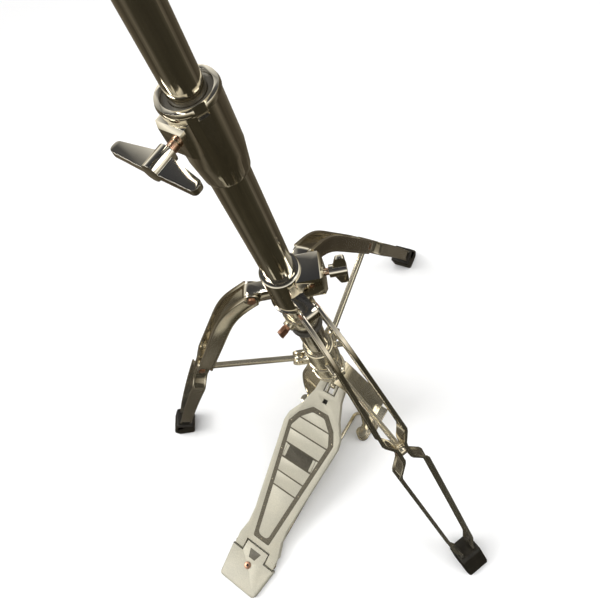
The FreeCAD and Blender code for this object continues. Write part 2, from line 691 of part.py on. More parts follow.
def thumb_screw(shank_length, wing_half, z):
    """A flat-winged thumb screw along +X with its shoulder at the origin, raised to z."""
    neck_extra, neck_length = THUMB_NECK
    end = THUMB_WING_START + THUMB_WING_LENGTH * wing_half
    shank = cross_rod(STRUT_PIN_R, 0.0, z, -shank_length, 0.0)
    neck = cross_rod(STRUT_PIN_R + neck_extra, 0.0, z, 0.0, neck_length)
    slab = block(0.0, end, -THUMB_WING_HALF, THUMB_WING_HALF, z - wing_half, z + wing_half)
    return fused(shank, neck, cross_rod(wing_half, 0.0, z, THUMB_WING_START, end).common(slab))


def memory_screw():
    """The memory ring's thumb screw."""
    middle = sum(MEMORY_RING_Z) / 2.0
    shank = MEMORY_BOSS_REACH - LOWER_TUBE_R - SCREW_TIP_GAP
    screw = thumb_screw(shank, MEMORY_WING_HALF, middle)
    return turned(moved(screw, MEMORY_BOSS_REACH, 0, 0), MEMORY_SCREW_AZIMUTH)


def frame_outline():
    """Half the arch of the pedal frame, seen from the pedal side, as a face in the XZ plane."""
    outer_x, inner_x = FRAME_TOP_HALF
    inner_top = FRAME_TOP - FRAME_TOP_THICKNESS
    outer = smooth_line(FRAME_OUTER + [(outer_x, FRAME_TOP)]).toShape()
    inner = smooth_line(FRAME_INNER + [(inner_x, inner_top)]).toShape()
    foot = Part.makeLine(V(FRAME_OUTER[0][0], 0, 0), V(FRAME_INNER[0][0], 0, 0))
    top = Part.makeLine(V(outer_x, 0, FRAME_TOP), V(0, 0, FRAME_TOP))
    middle = Part.makeLine(V(0, 0, FRAME_TOP), V(0, 0, inner_top))
    under = Part.makeLine(V(0, 0, inner_top), V(inner_x, 0, inner_top))
    return Part.Face(Part.Wire(Part.__sortEdges__([outer, foot, inner, under, middle, top])))


def frame_side():
    """The side view of the frame: deep at the floor and narrow at the top."""
    front = smooth_line([(y, z) for y, z in FRAME_DEPTH]).toShape()
    back = smooth_line([(-y, z) for y, z in FRAME_DEPTH]).toShape()
    foot = Part.makeLine(V(FRAME_DEPTH[0][0], 0, 0), V(-FRAME_DEPTH[0][0], 0, 0))
    top = Part.makeLine(V(FRAME_DEPTH[-1][0], 0, FRAME_TOP), V(-FRAME_DEPTH[-1][0], 0, FRAME_TOP))
    face = Part.Face(Part.Wire(Part.__sortEdges__([front, foot, back, top])))
    face.rotate(ORIGIN, Z_AXIS, 90.0)
    face.translate(V(-FRAME_FLANGE[0] - THROUGH, 0, 0))
    return face.extrude(V(2.0 * (FRAME_FLANGE[0] + THROUGH), 0, 0))


def spur_tab():
    """The tab that holds a spur, on the +X side, and the flange beside it."""
    x, y = SPUR_XY
    low, high = SPUR_TAB_Z
    tab = block(x - SPUR_TAB_HALF, x + SPUR_TAB_HALF, y, -FRAME_FLANGE[1], low, high)
    return fused(tab, rod(SPUR_TAB_HALF, low, high, x, y))


def pedal_frame():
    """The arched frame between the floor and the tube, with its feet and spur tabs."""
    face = frame_outline()
    depth = -FRAME_DEPTH[0][0] + THROUGH
    half = moved(face, 0, -depth, 0).extrude(V(0, 2.0 * depth, 0)).common(frame_side())
    reach, flange_half, thickness = FRAME_FLANGE
    flange = block(FRAME_INNER[0][0] + THROUGH, reach, -flange_half, flange_half, 0.0, thickness)
    half = fused(half, flange, spur_tab())
    x, y = SPUR_XY
    half = half.cut(rod(SPUR_R + RUNNING, 0.0, SPUR_TOP, x, y))
    hook = cross_rod(RADIUS_ROD_R, RADIUS_ROD_HOOK_Y, RADIUS_ROD_Z, RADIUS_ROD_X, reach)
    half = half.cut(hook)
    frame = fused(half, mirrored_x(half))
    return frame.cut(rod(FRAME_ROD_HOLE_R, 0.0, FRAME_TOP + THROUGH))


def frame_hub():
    """The socket on top of the frame that the lower tube stands in."""
    body = fused(rod(HUB_R, FRAME_TOP, HUB_TOP), rod(HUB_FOOT_R, FRAME_TOP, FRAME_TOP + HUB_FOOT))
    return body.cut(rod(LOWER_TUBE_R, FRAME_TOP - THROUGH, HUB_TOP + THROUGH))


def hub_screws():
    """Two cross screws that pin the tube in its socket."""
    head_r, head = HUB_SCREW_HEAD
    key_r, key = HUB_SCREW_KEY
    right = fused(cross_rod(head_r, 0.0, HUB_SCREW_Z, HUB_R, HUB_R + head),
                  cross_rod(key_r, 0.0, HUB_SCREW_Z, HUB_R + head, HUB_R + head + key))
    return group(right, mirrored_x(right))


def spur(side):
    """A threaded floor spur with a round knob, on the side given by the sign."""
    x, y = SPUR_XY
    low, high = SPUR_TIP
    tip = Part.makeCone(SPUR_TIP_R, SPUR_R, high - low, V(x, y, low))
    shank = rod(SPUR_R, high, SPUR_TOP, x, y)
    knob = rod(SPUR_KNOB_R, SPUR_TOP - SPUR_KNOB_HEIGHT, SPUR_TOP, x, y)
    solid = fused(tip, shank, knob)
    if side < 0.0:
        solid = mirrored_x(solid)
    return solid


def rod_guide_bush():
    return ring(LOWER_BORE_R, ROD_R + RUNNING, LOWER_TUBE_BOTTOM, LOWER_TUBE_BOTTOM + GUIDE_BUSH_HEIGHT)


def heel_outline(inset):
    front = HEEL_FRONT_HALF - inset
    back = HEEL_BACK_HALF - inset
    return [(-front, HEEL_FRONT_Y), (-back, HEEL_BACK_Y + inset), (back, HEEL_BACK_Y + inset),
            (front, HEEL_FRONT_Y)]


def heel_plate():
    """A shallow tray, open underneath, with a tongue that carries the hinge pin."""
    shell = plan_prism(heel_outline(0.0), HEEL_PAD, HEEL_TOP)
    back = [e for e in upright_edges(shell) if e.CenterOfMass.y < HEEL_FRONT_Y - THROUGH]
    shell = shell.makeFillet(HEEL_CORNER_R, back)
    rim = [e for e in shell.Edges
           if e.BoundBox.ZMin > HEEL_TOP - THROUGH and e.CenterOfMass.y < HEEL_FRONT_Y - THROUGH]
    shell = shell.makeFillet(HEEL_RIM_R, rim)
    hollow = plan_prism(heel_outline(HEEL_SKIN), HEEL_PAD - THROUGH, HEEL_TOP - HEEL_SKIN)
    mouth = block(-HEEL_FRONT_HALF + HEEL_SKIN, HEEL_FRONT_HALF - HEEL_SKIN, HEEL_FRONT_Y - THROUGH,
                  HEEL_FRONT_Y + THROUGH, HEEL_PAD - THROUGH, HEEL_TOP - HEEL_SKIN)
    shell = shell.cut(hollow).cut(mouth)
    tongue = block(-TONGUE_HALF, TONGUE_HALF, HEEL_FRONT_Y - THROUGH, TONGUE_END_Y,
                   HEEL_TOP - HEEL_SKIN, HEEL_TOP)
    knuckle = cross_rod(TONGUE_KNUCKLE_R, HINGE_Y, HINGE_Z, -TONGUE_HALF, TONGUE_HALF)
    shell = fused(shell, tongue, knuckle)
    screw_hole = rod(HEEL_SCREW_R, HEEL_PAD, HEEL_TOP + THROUGH, 0.0, HEEL_SCREW_Y)
    pin_hole = cross_rod(HINGE_PIN_R, HINGE_Y, HINGE_Z, -TONGUE_HALF, TONGUE_HALF)
    return shell.cut(pin_hole).cut(screw_hole)


def heel_pad():
    """The rubber sheet under the heel plate."""
    pad = plan_prism(heel_outline(HEEL_PAD_INSET), 0.0, HEEL_PAD)
    back = [e for e in upright_edges(pad) if e.CenterOfMass.y < HEEL_FRONT_Y - THROUGH]
    return pad.makeFillet(HEEL_CORNER_R - HEEL_PAD_INSET, back)


def heel_screw():
    head_r, head = HEEL_SCREW_HEAD
    return fused(rod(HEEL_SCREW_R, HEEL_PAD, HEEL_TOP, 0.0, HEEL_SCREW_Y),
                 rod(head_r, HEEL_TOP, HEEL_TOP + head, 0.0, HEEL_SCREW_Y))


def hinge_pin():
    return cross_rod(HINGE_PIN_R, HINGE_Y, HINGE_Z, -HINGE_PIN_HALF, HINGE_PIN_HALF)


def bent_path(corners, bend, z):
    """A flat path through right-angled corners, each rounded to the bend radius."""
    places = [V(x, y, z) for x, y in corners]
    edges = []
    start = places[0]
    for before, corner, after in zip(places, places[1:], places[2:]):
        back = (before - corner).normalize() * bend
        onward = (after - corner).normalize() * bend
        inward = (back + onward) * (1.0 - math.sqrt(0.5))
        edges.append(Part.makeLine(start, corner + back))
        edges.append(Part.Arc(corner + back, corner + inward, corner + onward).toShape())
        start = corner + onward
    edges.append(Part.makeLine(start, places[-1]))
    return Part.Wire(edges)


def radius_rod():
    """One bent wire: hooked into both feet of the frame and run back under the heel plate."""
    x, end, hook = RADIUS_ROD_X, RADIUS_ROD_END_X, RADIUS_ROD_HOOK_Y
    corners = [(-end, hook), (-x, hook), (-x, RADIUS_ROD_BACK_Y), (x, RADIUS_ROD_BACK_Y),
               (x, hook), (end, hook)]
    path = bent_path(corners, RADIUS_ROD_BEND, RADIUS_ROD_Z)
    section = Part.Wire(Part.Circle(V(-end, hook, RADIUS_ROD_Z), X_AXIS, RADIUS_ROD_R).toShape())
    return path.makePipeShell([section], True, True)


def on_board(shape):
    """Tips a shape from the board's own plane into place on the hinge."""
    copy = shape.copy()
    copy.rotate(ORIGIN, X_AXIS, BOARD_ANGLE)
    copy.translate(V(0, HINGE_Y, HINGE_Z))
    return copy


def board_outline(inset):
    """The board's closed outline in its own plane, as (v, u) points."""
    side = [(v - inset, u) for u, v in BOARD_SIDE]
    side[0] = (side[0][0], side[0][1] + inset)
    side[-1] = (side[-1][0], side[-1][1] - inset)
    return side + [(-v, u) for v, u in reversed(side)]


def band_outline(points):
    """The closed outline of one edge of the grip inlay, as (v, u) points."""
    side = [(v, u) for u, v in points]
    return side + [(-v, u) for v, u in reversed(side)]


def inlay_ring(low, high):
    """The grip band that runs round the board, between two heights."""
    outer = plan_prism(band_outline(INLAY_OUTER), low, high, INLAY_ROUND[0])
    inner = plan_prism(band_outline(INLAY_INNER), low - THROUGH, high + THROUGH, INLAY_ROUND[1])
    return outer.cut(inner)


def inlay_half_width(u):
    """Half the width inside the inlay at a distance from the hinge."""
    for (u0, v0), (u1, v1) in zip(INLAY_INNER, INLAY_INNER[1:]):
        if u0 <= u <= u1:
            return v0 + (v1 - v0) * (u - u0) / (u1 - u0)
    return 0.0


def board_recesses():
    """The shallow recesses in the board's face: the grip band, the lines and the plate."""
    low = BOARD_SKIN - INLAY_DEPTH
    high = BOARD_SKIN + THROUGH
    tools = [inlay_ring(low, high), block(-PLATE_HALF, PLATE_HALF, PLATE_U[0], PLATE_U[1], low, high)]
    for index in range(LINE_COUNT):
        u = LINE_FIRST_U + LINE_PITCH * index
        half = inlay_half_width(u)
        tools.append(block(-half, half, u - LINE_WIDTH / 2.0, u + LINE_WIDTH / 2.0, low, high))
    return tools


def board_openings():
    """Everything cut right through the board: its hinge end, toe window and square hole."""
    below = -BOARD_FLANGE - THROUGH
    above = BOARD_SKIN + THROUGH
    u0, u1, half = TOE_WINDOW
    side = BOARD_SIDE[0][1] + THROUGH
    hole = SQUARE_HOLE / 2.0
    return [block(-side, side, -KNUCKLE_R, BOARD_NOTCH_U, below, 0.0),
            block(-BOARD_EAR_FROM, BOARD_EAR_FROM, -KNUCKLE_R, BOARD_NOTCH_U, below, above),
            block(-half, half, u0, u1, below, above),
            block(-hole, hole, SQUARE_HOLE_U - hole, SQUARE_HOLE_U + hole, below, above)]


def board_knuckle():
    """The hinge knuckle on the +X side, flat on top, and cut away where the radius rod runs under it."""
    whole = cross_rod(KNUCKLE_R, 0.0, 0.0, BOARD_EAR_FROM, BOARD_SIDE[0][1])
    flat = block(BOARD_EAR_FROM, BOARD_SIDE[0][1], -KNUCKLE_R, KNUCKLE_R, -KNUCKLE_R, BOARD_KNUCKLE_TOP)
    away = block(BOARD_EAR_FROM, BOARD_KNUCKLE_FROM, -KNUCKLE_R, KNUCKLE_R, -KNUCKLE_R, 0.0)
    return whole.common(flat).cut(away)


def toe_lug():
    """The lug beside the toe window, on the +X side, that holds the toe pin."""
    near, far = TOE_LUG
    u, n = TOE_PIN
    return fused(cross_rod(TOE_LUG_R, u, n, near, far),
                 block(near, far, TOE_WINDOW[0] - TOE_LUG_BACK, u, n - TOE_LUG_R, TOE_LUG_ROOT),
                 block(near, far, u, TOE_WINDOW[1] + TOE_LUG_FRONT, n, TOE_LUG_ROOT))


def footboard():
    """A pressed board with turned-down sides, hinge knuckles, toe lugs and a recessed face."""
    skin = plan_prism(board_outline(0.0), -BOARD_FLANGE, BOARD_SKIN, BOARD_CORNER_R[0])
    hollow = plan_prism(board_outline(BOARD_SKIN), -BOARD_FLANGE - THROUGH, 0.0, BOARD_CORNER_R[1])
    body = skin.cut(hollow)
    for tool in board_openings() + board_recesses():
        body = body.cut(tool)
    additions = [board_knuckle(), toe_lug()]
    additions += [mirrored_x(shape) for shape in additions]
    body = fused(body, *additions)
    side = BOARD_SIDE[0][1] + THROUGH
    body = body.cut(cross_rod(HINGE_PIN_R + RUNNING, 0.0, 0.0, -side, side))
    body = body.cut(cross_rod(TOE_PIN_R, TOE_PIN[0], TOE_PIN[1], -TOE_PIN_HALF, TOE_PIN_HALF))
    return on_board(body)


def footboard_inlay():
    return on_board(inlay_ring(BOARD_SKIN - INLAY_DEPTH, BOARD_SKIN + INLAY_PROUD))


def footboard_plate():
    """A plain blank plate set across the board between two grip lines."""
    return on_board(block(-PLATE_HALF, PLATE_HALF, PLATE_U[0], PLATE_U[1],
                          BOARD_SKIN - INLAY_DEPTH, BOARD_SKIN + PLATE_PROUD))


def toe_pin():
    return on_board(cross_rod(TOE_PIN_R, TOE_PIN[0], TOE_PIN[1], -TOE_PIN_HALF, TOE_PIN_HALF))


def toe_point():
    """The toe pin's height and its distance along Y from the tube axis, as (y, z)."""
    angle = math.radians(BOARD_ANGLE)
    u, n = TOE_PIN
    return (HINGE_Y + u * math.cos(angle) - n * math.sin(angle),
            HINGE_Z + u * math.sin(angle) + n * math.cos(angle))


def link_top():
    """The height of the yoke pin, one link above the toe pin."""
    y, z = toe_point()
    return z + math.sqrt(LINK_LENGTH ** 2 - y ** 2)


def pull_link():
    """The flat link between the toe pin and the pull rod's yoke."""
    y, z = toe_point()
    top = link_top()
    half = LINK_HALF_THICKNESS
    bar = block(-half, half, -LINK_BAR_HALF, LINK_BAR_HALF, 0.0, LINK_LENGTH)
    bar.rotate(ORIGIN, X_AXIS, math.degrees(math.atan2(y, top - z)))
    bar.translate(V(0, y, z))
    body = fused(bar, cross_rod(LINK_EYE_R, y, z, -half, half),
                 cross_rod(LINK_TOP_EYE_R, 0.0, top, -half, half))
    body = body.cut(cross_rod(LINK_LOOSE_HOLE_R, y, z, -half - THROUGH, half + THROUGH))
    return body.cut(cross_rod(TOE_PIN_R + RUNNING, 0.0, top, -half - THROUGH, half + THROUGH))


def rod_yoke():
    """The fork on the foot of the pull rod that the link hangs from."""
    top = link_top()
    body = rod(YOKE_R, top - YOKE_BELOW, top + YOKE_ABOVE)
    body = body.cut(block(-YOKE_SLOT_HALF, YOKE_SLOT_HALF, -YOKE_R - THROUGH, YOKE_R + THROUGH,
                          top - YOKE_BELOW - THROUGH, top + YOKE_BELOW))
    body = body.cut(cross_rod(TOE_PIN_R, 0.0, top, -YOKE_R - THROUGH, YOKE_R + THROUGH))
    return body.cut(rod(ROD_R, top + YOKE_BELOW + YOKE_ROOF, top + YOKE_ABOVE + THROUGH))


def yoke_pin():
    half = YOKE_R - YOKE_PIN_SHORT
    return cross_rod(TOE_PIN_R, 0.0, link_top(), -half, half)


def pull_rod_lower():
    return rod(ROD_R, link_top() + YOKE_BELOW + YOKE_ROOF, ROD_JOINT_Z)


def pull_rod_upper():
    shaft = rod(ROD_R, ROD_JOINT_Z, ROD_TOP)
    top = [e for e in shaft.Edges if e.BoundBox.ZMin > ROD_TOP - ROD_CHAMFER]
    return shaft.makeChamfer(ROD_CHAMFER, top)


def rod_coupler():
    return ring(COUPLER_R, ROD_R, ROD_JOINT_Z - COUPLER_HALF, ROD_JOINT_Z + COUPLER_HALF)


def spring_collar():
    return ring(SPRING_COLLAR_R, ROD_R, *SPRING_COLLAR_Z)


def return_spring():
    """The coil that lifts the pull rod, between the guide bush and the spring collar."""
    height = SPRING_TOP - SPRING_BOTTOM - 2.0 * SPRING_WIRE_R
    low = SPRING_BOTTOM + SPRING_WIRE_R
    path = Part.makeHelix(height / SPRING_TURNS, height, SPRING_R)
    path.translate(V(0, 0, low))
    section = Part.Wire(Part.Circle(V(SPRING_R, 0, low), Y_AXIS, SPRING_WIRE_R).toShape())
    return Part.Wire(path).makePipeShell([section], True, True)


def upper_tube():
    return ring(UPPER_TUBE_R, UPPER_BORE_R, UPPER_TUBE_BOTTOM, UPPER_TUBE_TOP)


def tube_guide_ring():
    """A plastic glide round the foot of the upper tube."""
    return ring(LOWER_BORE_R - RUNNING, UPPER_TUBE_R, UPPER_TUBE_BOTTOM,
                UPPER_TUBE_BOTTOM + GUIDE_RING_HEIGHT)


def seat_fork():
    """The fork behind the seat base that the cup hinges on."""
    high = SEAT_BASE_Z[1]
    y, z = SEAT_HINGE
    half = SEAT_FORK_HALF
    body = fused(block(-half, half, SEAT_FORK_FROM_Y, y, high - SEAT_FORK_FOOT, z),
                 cross_rod(SEAT_FORK_R, y, z, -half, half))
    gap = block(-SEAT_FORK_GAP_HALF, SEAT_FORK_GAP_HALF, SEAT_FORK_FROM_Y, y + SEAT_FORK_R + THROUGH,
                high - SEAT_FORK_GAP_DEPTH, z + SEAT_FORK_R + THROUGH)
    return body.cut(gap)


def seat_base():
    """The cap on the upper tube, with a hinge fork behind and an arm for the tilt screw."""
    low, high = SEAT_BASE_Z
    y, z = SEAT_HINGE
    arm_low = high - SEAT_ARM_HEIGHT
    arm = block(-SEAT_ARM_HALF, SEAT_ARM_HALF, TILT_SCREW_Y, 0.0, arm_low, high)
    tip = rod(SEAT_ARM_HALF, arm_low, high, 0.0, TILT_SCREW_Y)
    body = fused(rod(SEAT_BASE_R, low, high), arm, tip, seat_fork())
    body = body.cut(rod(UPPER_TUBE_R, low - THROUGH, UPPER_TUBE_TOP))
    body = body.cut(rod(SEAT_BORE_R, low, z + SEAT_FORK_R + THROUGH))
    body = body.cut(rod(TILT_SCREW_R + RUNNING, arm_low - THROUGH, high + THROUGH, 0.0, TILT_SCREW_Y))
    return body.cut(cross_rod(TOE_PIN_R, y, z, -SEAT_FORK_HALF, SEAT_FORK_HALF))


def seat_pin():
    return cross_rod(TOE_PIN_R, SEAT_HINGE[0], SEAT_HINGE[1], -SEAT_FORK_HALF, SEAT_FORK_HALF)


def seat_cup():
    """The dish under the cymbal, with a neck for the felt and a lug on the hinge."""
    low, high = SEAT_CUP_Z
    y, z = SEAT_HINGE
    half = SEAT_LUG_HALF
    dish = rod(SEAT_CUP_R, low, high)
    rim = [e for e in dish.Edges if e.BoundBox.ZMax < high - THROUGH]
    dish = dish.makeChamfer(SEAT_CUP_CHAMFER, rim)
    for side in (-1.0, 1.0):
        x0, x1 = sorted((side * half, side * SEAT_RELIEF_HALF))
        dish = dish.cut(cross_rod(SEAT_RELIEF_R, y, z, x0, x1))
    body = fused(dish, rod(SEAT_SHOULDER_R, high - THROUGH, SEAT_SHOULDER_Z),
                 rod(SEAT_NECK_R, SEAT_SHOULDER_Z, SEAT_NECK_Z), cross_rod(SEAT_LUG_R, y, z, -half, half))
    body = body.cut(rod(SEAT_HOLE_R, low - SEAT_LUG_R - THROUGH, SEAT_NECK_Z + THROUGH))
    return body.cut(cross_rod(TOE_PIN_R + RUNNING, y, z, -half - THROUGH, half + THROUGH))


def felt_washer(radius, hole, heights, rounding):
    """A felt washer with rounded edges."""
    low, high = heights
    felt = rod(radius, low, high)
    rims = [e for e in felt.Edges if isinstance(e.Curve, Part.Circle)]
    return felt.makeFillet(rounding, rims).cut(rod(hole, low - THROUGH, high + THROUGH))


def seat_felt():
    return felt_washer(SEAT_FELT_R, SEAT_SHOULDER_R, SEAT_FELT_Z, SEAT_FELT_ROUND)


def tilt_screw():
    """The thumb screw whose tip lifts the free side of the seat."""
    low, high = TILT_KNOB_Z
    shank = rod(TILT_SCREW_R, low, SEAT_CUP_Z[0] - TILT_TIP_GAP, 0.0, TILT_SCREW_Y)
    return fused(shank, rod(TILT_KNOB_R, low, high, 0.0, TILT_SCREW_Y))


def clutch_body():
    """The threaded sleeve and head that grip the pull rod."""
    sleeve = rod(CLUTCH_SLEEVE_R, CLUTCH_BOTTOM, CLUTCH_HEAD_BOTTOM)
    head = rod(CLUTCH_HEAD_R, CLUTCH_HEAD_BOTTOM, CLUTCH_TOP)
    boss = cross_rod(CLUTCH_BOSS_R, 0.0, CLUTCH_SCREW_Z, 0.0, CLUTCH_BOSS_REACH)
    rims = [e for e in head.Edges if isinstance(e.Curve, Part.Circle)]
    body = fused(sleeve, head.makeChamfer(CLUTCH_HEAD_CHAMFER, rims), boss)
    body = body.cut(rod(ROD_R + RUNNING, CLUTCH_BOTTOM - THROUGH, CLUTCH_TOP + THROUGH))
    hole = cross_rod(STRUT_PIN_R + RUNNING, 0.0, CLUTCH_SCREW_Z, 0.0, CLUTCH_BOSS_REACH + THROUGH)
    return body.cut(hole)


def clutch_nut():
    """The round nut under the clutch, with gripping flats."""
    low, high = CLUTCH_NUT_Z
    body = rod(CLUTCH_NUT_R, low, high)
    for index in range(NUT_GRIPS):
        notch = rod(NUT_GRIP_R, low - THROUGH, high + THROUGH, CLUTCH_NUT_R + NUT_GRIP_OUTSET, 0.0)
        body = body.cut(turned(notch, 360.0 * index / NUT_GRIPS))
    return body.cut(rod(CLUTCH_SLEEVE_R, low - THROUGH, high + THROUGH))


def clutch_felts():
    """The two felt washers that hold a cymbal between them."""
    return group(*[felt_washer(CLUTCH_FELT_R, CLUTCH_SLEEVE_R, heights, CLUTCH_FELT_ROUND)
                   for heights in CLUTCH_FELTS_Z])


def lock_nuts():
    """Two hexagon nuts that lock against each other above the felts."""
    nuts = []
    for low, high in LOCK_NUTS_Z:
        corners = [(LOCK_NUT_R * math.cos(math.radians(a)), LOCK_NUT_R * math.sin(math.radians(a)))
                   for a in range(0, 360, 60)]
        nut = plan_prism(corners, low, high)
        nuts.append(nut.cut(rod(CLUTCH_SLEEVE_R, low - THROUGH, high + THROUGH)))
    return group(*nuts)


def clutch_wing_screw():
    screw = thumb_screw(CLUTCH_BOSS_REACH - ROD_R - CLUTCH_TIP_GAP, CLUTCH_WING_HALF, CLUTCH_SCREW_Z)
    return moved(screw, CLUTCH_BOSS_REACH, 0, 0)


def all_nodes():
    """Every sub-part, by node name."""
    nodes = {
        "lower_tube": lower_tube(), "height_clamp": height_clamp(), "clamp_bushing": clamp_bushing(),
        "clamp_wing_bolt": clamp_wing_bolt(), "pedal_frame": pedal_frame(), "frame_hub": frame_hub(),
        "hub_screws": hub_screws(), "rod_guide_bush": rod_guide_bush(), "spur_right": spur(1.0),
        "spur_left": spur(-1.0), "heel_plate": heel_plate(), "heel_pad": heel_pad(),
        "heel_screw": heel_screw(), "hinge_pin": hinge_pin(), "radius_rod": radius_rod(),
        "memory_ring": memory_ring(), "memory_screw": memory_screw(),
        "stop_ring": ring(STOP_RING_R, LOWER_TUBE_R, *STOP_RING_Z),
        "strut_collar": strut_collar(), "strut_pins": strut_pins(),
        "strut_collar_screw": strut_collar_screw(), "leg_collar": leg_collar(),
        "collar_wing_bolt": collar_wing_bolt(), "footboard": footboard(),
        "footboard_inlay": footboard_inlay(), "footboard_plate": footboard_plate(),
        "toe_pin": toe_pin(), "pull_link": pull_link(), "rod_yoke": rod_yoke(),
        "yoke_pin": yoke_pin(), "pull_rod_lower": pull_rod_lower(), "rod_coupler": rod_coupler(),
        "pull_rod_upper": pull_rod_upper(), "spring_collar": spring_collar(),
        "return_spring": return_spring(), "upper_tube": upper_tube(),
        "tube_guide_ring": tube_guide_ring(), "seat_base": seat_base(), "seat_pin": seat_pin(),
        "seat_cup": seat_cup(), "seat_felt": seat_felt(), "tilt_screw": tilt_screw(),
        "clutch_body": clutch_body(), "clutch_nut": clutch_nut(), "clutch_felts": clutch_felts(),
        "lock_nuts": lock_nuts(), "clutch_wing_screw": clutch_wing_screw(),
    }
    nodes.update(leg_nodes())
    for name, azimuth in LEG_AZIMUTHS.items():
        nodes["strut_%s" % name] = turned(strut(), azimuth)
    return nodes


def main():
    os.makedirs("parts", exist_ok=True)
    for name, shape in all_nodes().items():
        if not shape.isValid():
            print("not valid:", name)
        shape.exportStep("parts/%s.step" % name)
        print(name, len(shape.Solids), round(shape.Volume / 1000.0, 2), "cm3")


main()
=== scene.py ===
import bpy
import bmesh
import json
import math
from mathutils import Matrix, Vector, noise


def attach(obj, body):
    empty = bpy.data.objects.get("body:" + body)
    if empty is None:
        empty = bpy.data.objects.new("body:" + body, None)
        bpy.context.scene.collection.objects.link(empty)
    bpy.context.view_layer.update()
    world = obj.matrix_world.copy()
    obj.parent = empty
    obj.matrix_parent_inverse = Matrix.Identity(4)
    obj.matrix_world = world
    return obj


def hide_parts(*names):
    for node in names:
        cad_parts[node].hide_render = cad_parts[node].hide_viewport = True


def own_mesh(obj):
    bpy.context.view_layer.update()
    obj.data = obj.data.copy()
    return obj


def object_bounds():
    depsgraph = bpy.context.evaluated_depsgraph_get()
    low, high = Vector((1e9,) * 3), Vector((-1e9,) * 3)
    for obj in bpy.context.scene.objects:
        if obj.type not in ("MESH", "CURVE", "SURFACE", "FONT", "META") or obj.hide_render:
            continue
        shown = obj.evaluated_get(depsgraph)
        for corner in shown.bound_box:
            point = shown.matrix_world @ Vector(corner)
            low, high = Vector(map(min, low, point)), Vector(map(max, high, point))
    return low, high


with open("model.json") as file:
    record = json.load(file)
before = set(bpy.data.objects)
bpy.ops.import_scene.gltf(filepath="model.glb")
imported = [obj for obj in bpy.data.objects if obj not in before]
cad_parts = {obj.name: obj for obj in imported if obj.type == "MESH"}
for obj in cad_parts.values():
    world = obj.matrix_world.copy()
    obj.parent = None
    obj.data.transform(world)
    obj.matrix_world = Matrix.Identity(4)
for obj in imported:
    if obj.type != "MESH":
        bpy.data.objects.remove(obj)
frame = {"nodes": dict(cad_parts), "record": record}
CAD_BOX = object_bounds()

# A hi-hat stand. Metres, +Z up, the origin on the floor on the axis of the tubes, the pedal along -Y.


def new_object(name, data):
    """An object in the scene."""
    obj = bpy.data.objects.new(name, data)
    bpy.context.scene.collection.objects.link(obj)
    return obj


# ---------------------------------------------------------------- camera
CAMERA_PLACE = Vector((0.1964, -0.1258, 0.8161))
CAMERA_HEADING = math.radians(-56.26)
CAMERA_DIP = math.radians(61.50)
CAMERA_ROLL = math.radians(-26.36)
CAMERA_LENS = 29.9
FILM_WIDTH = 36.0


def add_camera():
    """A hand-held view from above and beside the tubes, looking down the stand to the floor."""
    flat = math.cos(CAMERA_DIP)
    forward = Vector((math.sin(CAMERA_HEADING) * flat, math.cos(CAMERA_HEADING) * flat,
                      -math.sin(CAMERA_DIP)))
    level = Vector((math.cos(CAMERA_HEADING), -math.sin(CAMERA_HEADING), 0.0))
    upright = level.cross(forward)
    c, s = math.cos(CAMERA_ROLL), math.sin(CAMERA_ROLL)
    right = level * c + upright * s
    up = upright * c - level * s
    data = bpy.data.cameras.new("camera")
    data.sensor_width = FILM_WIDTH
    data.lens = CAMERA_LENS
    data.clip_start = 0.01
    camera = new_object("camera", data)
    turn = Matrix((right, up, -forward)).transposed().to_4x4()
    camera.matrix_world = Matrix.Translation(CAMERA_PLACE) @ turn
    bpy.context.scene.camera = camera


add_camera()
bpy.context.scene.view_settings.view_transform = "Standard"


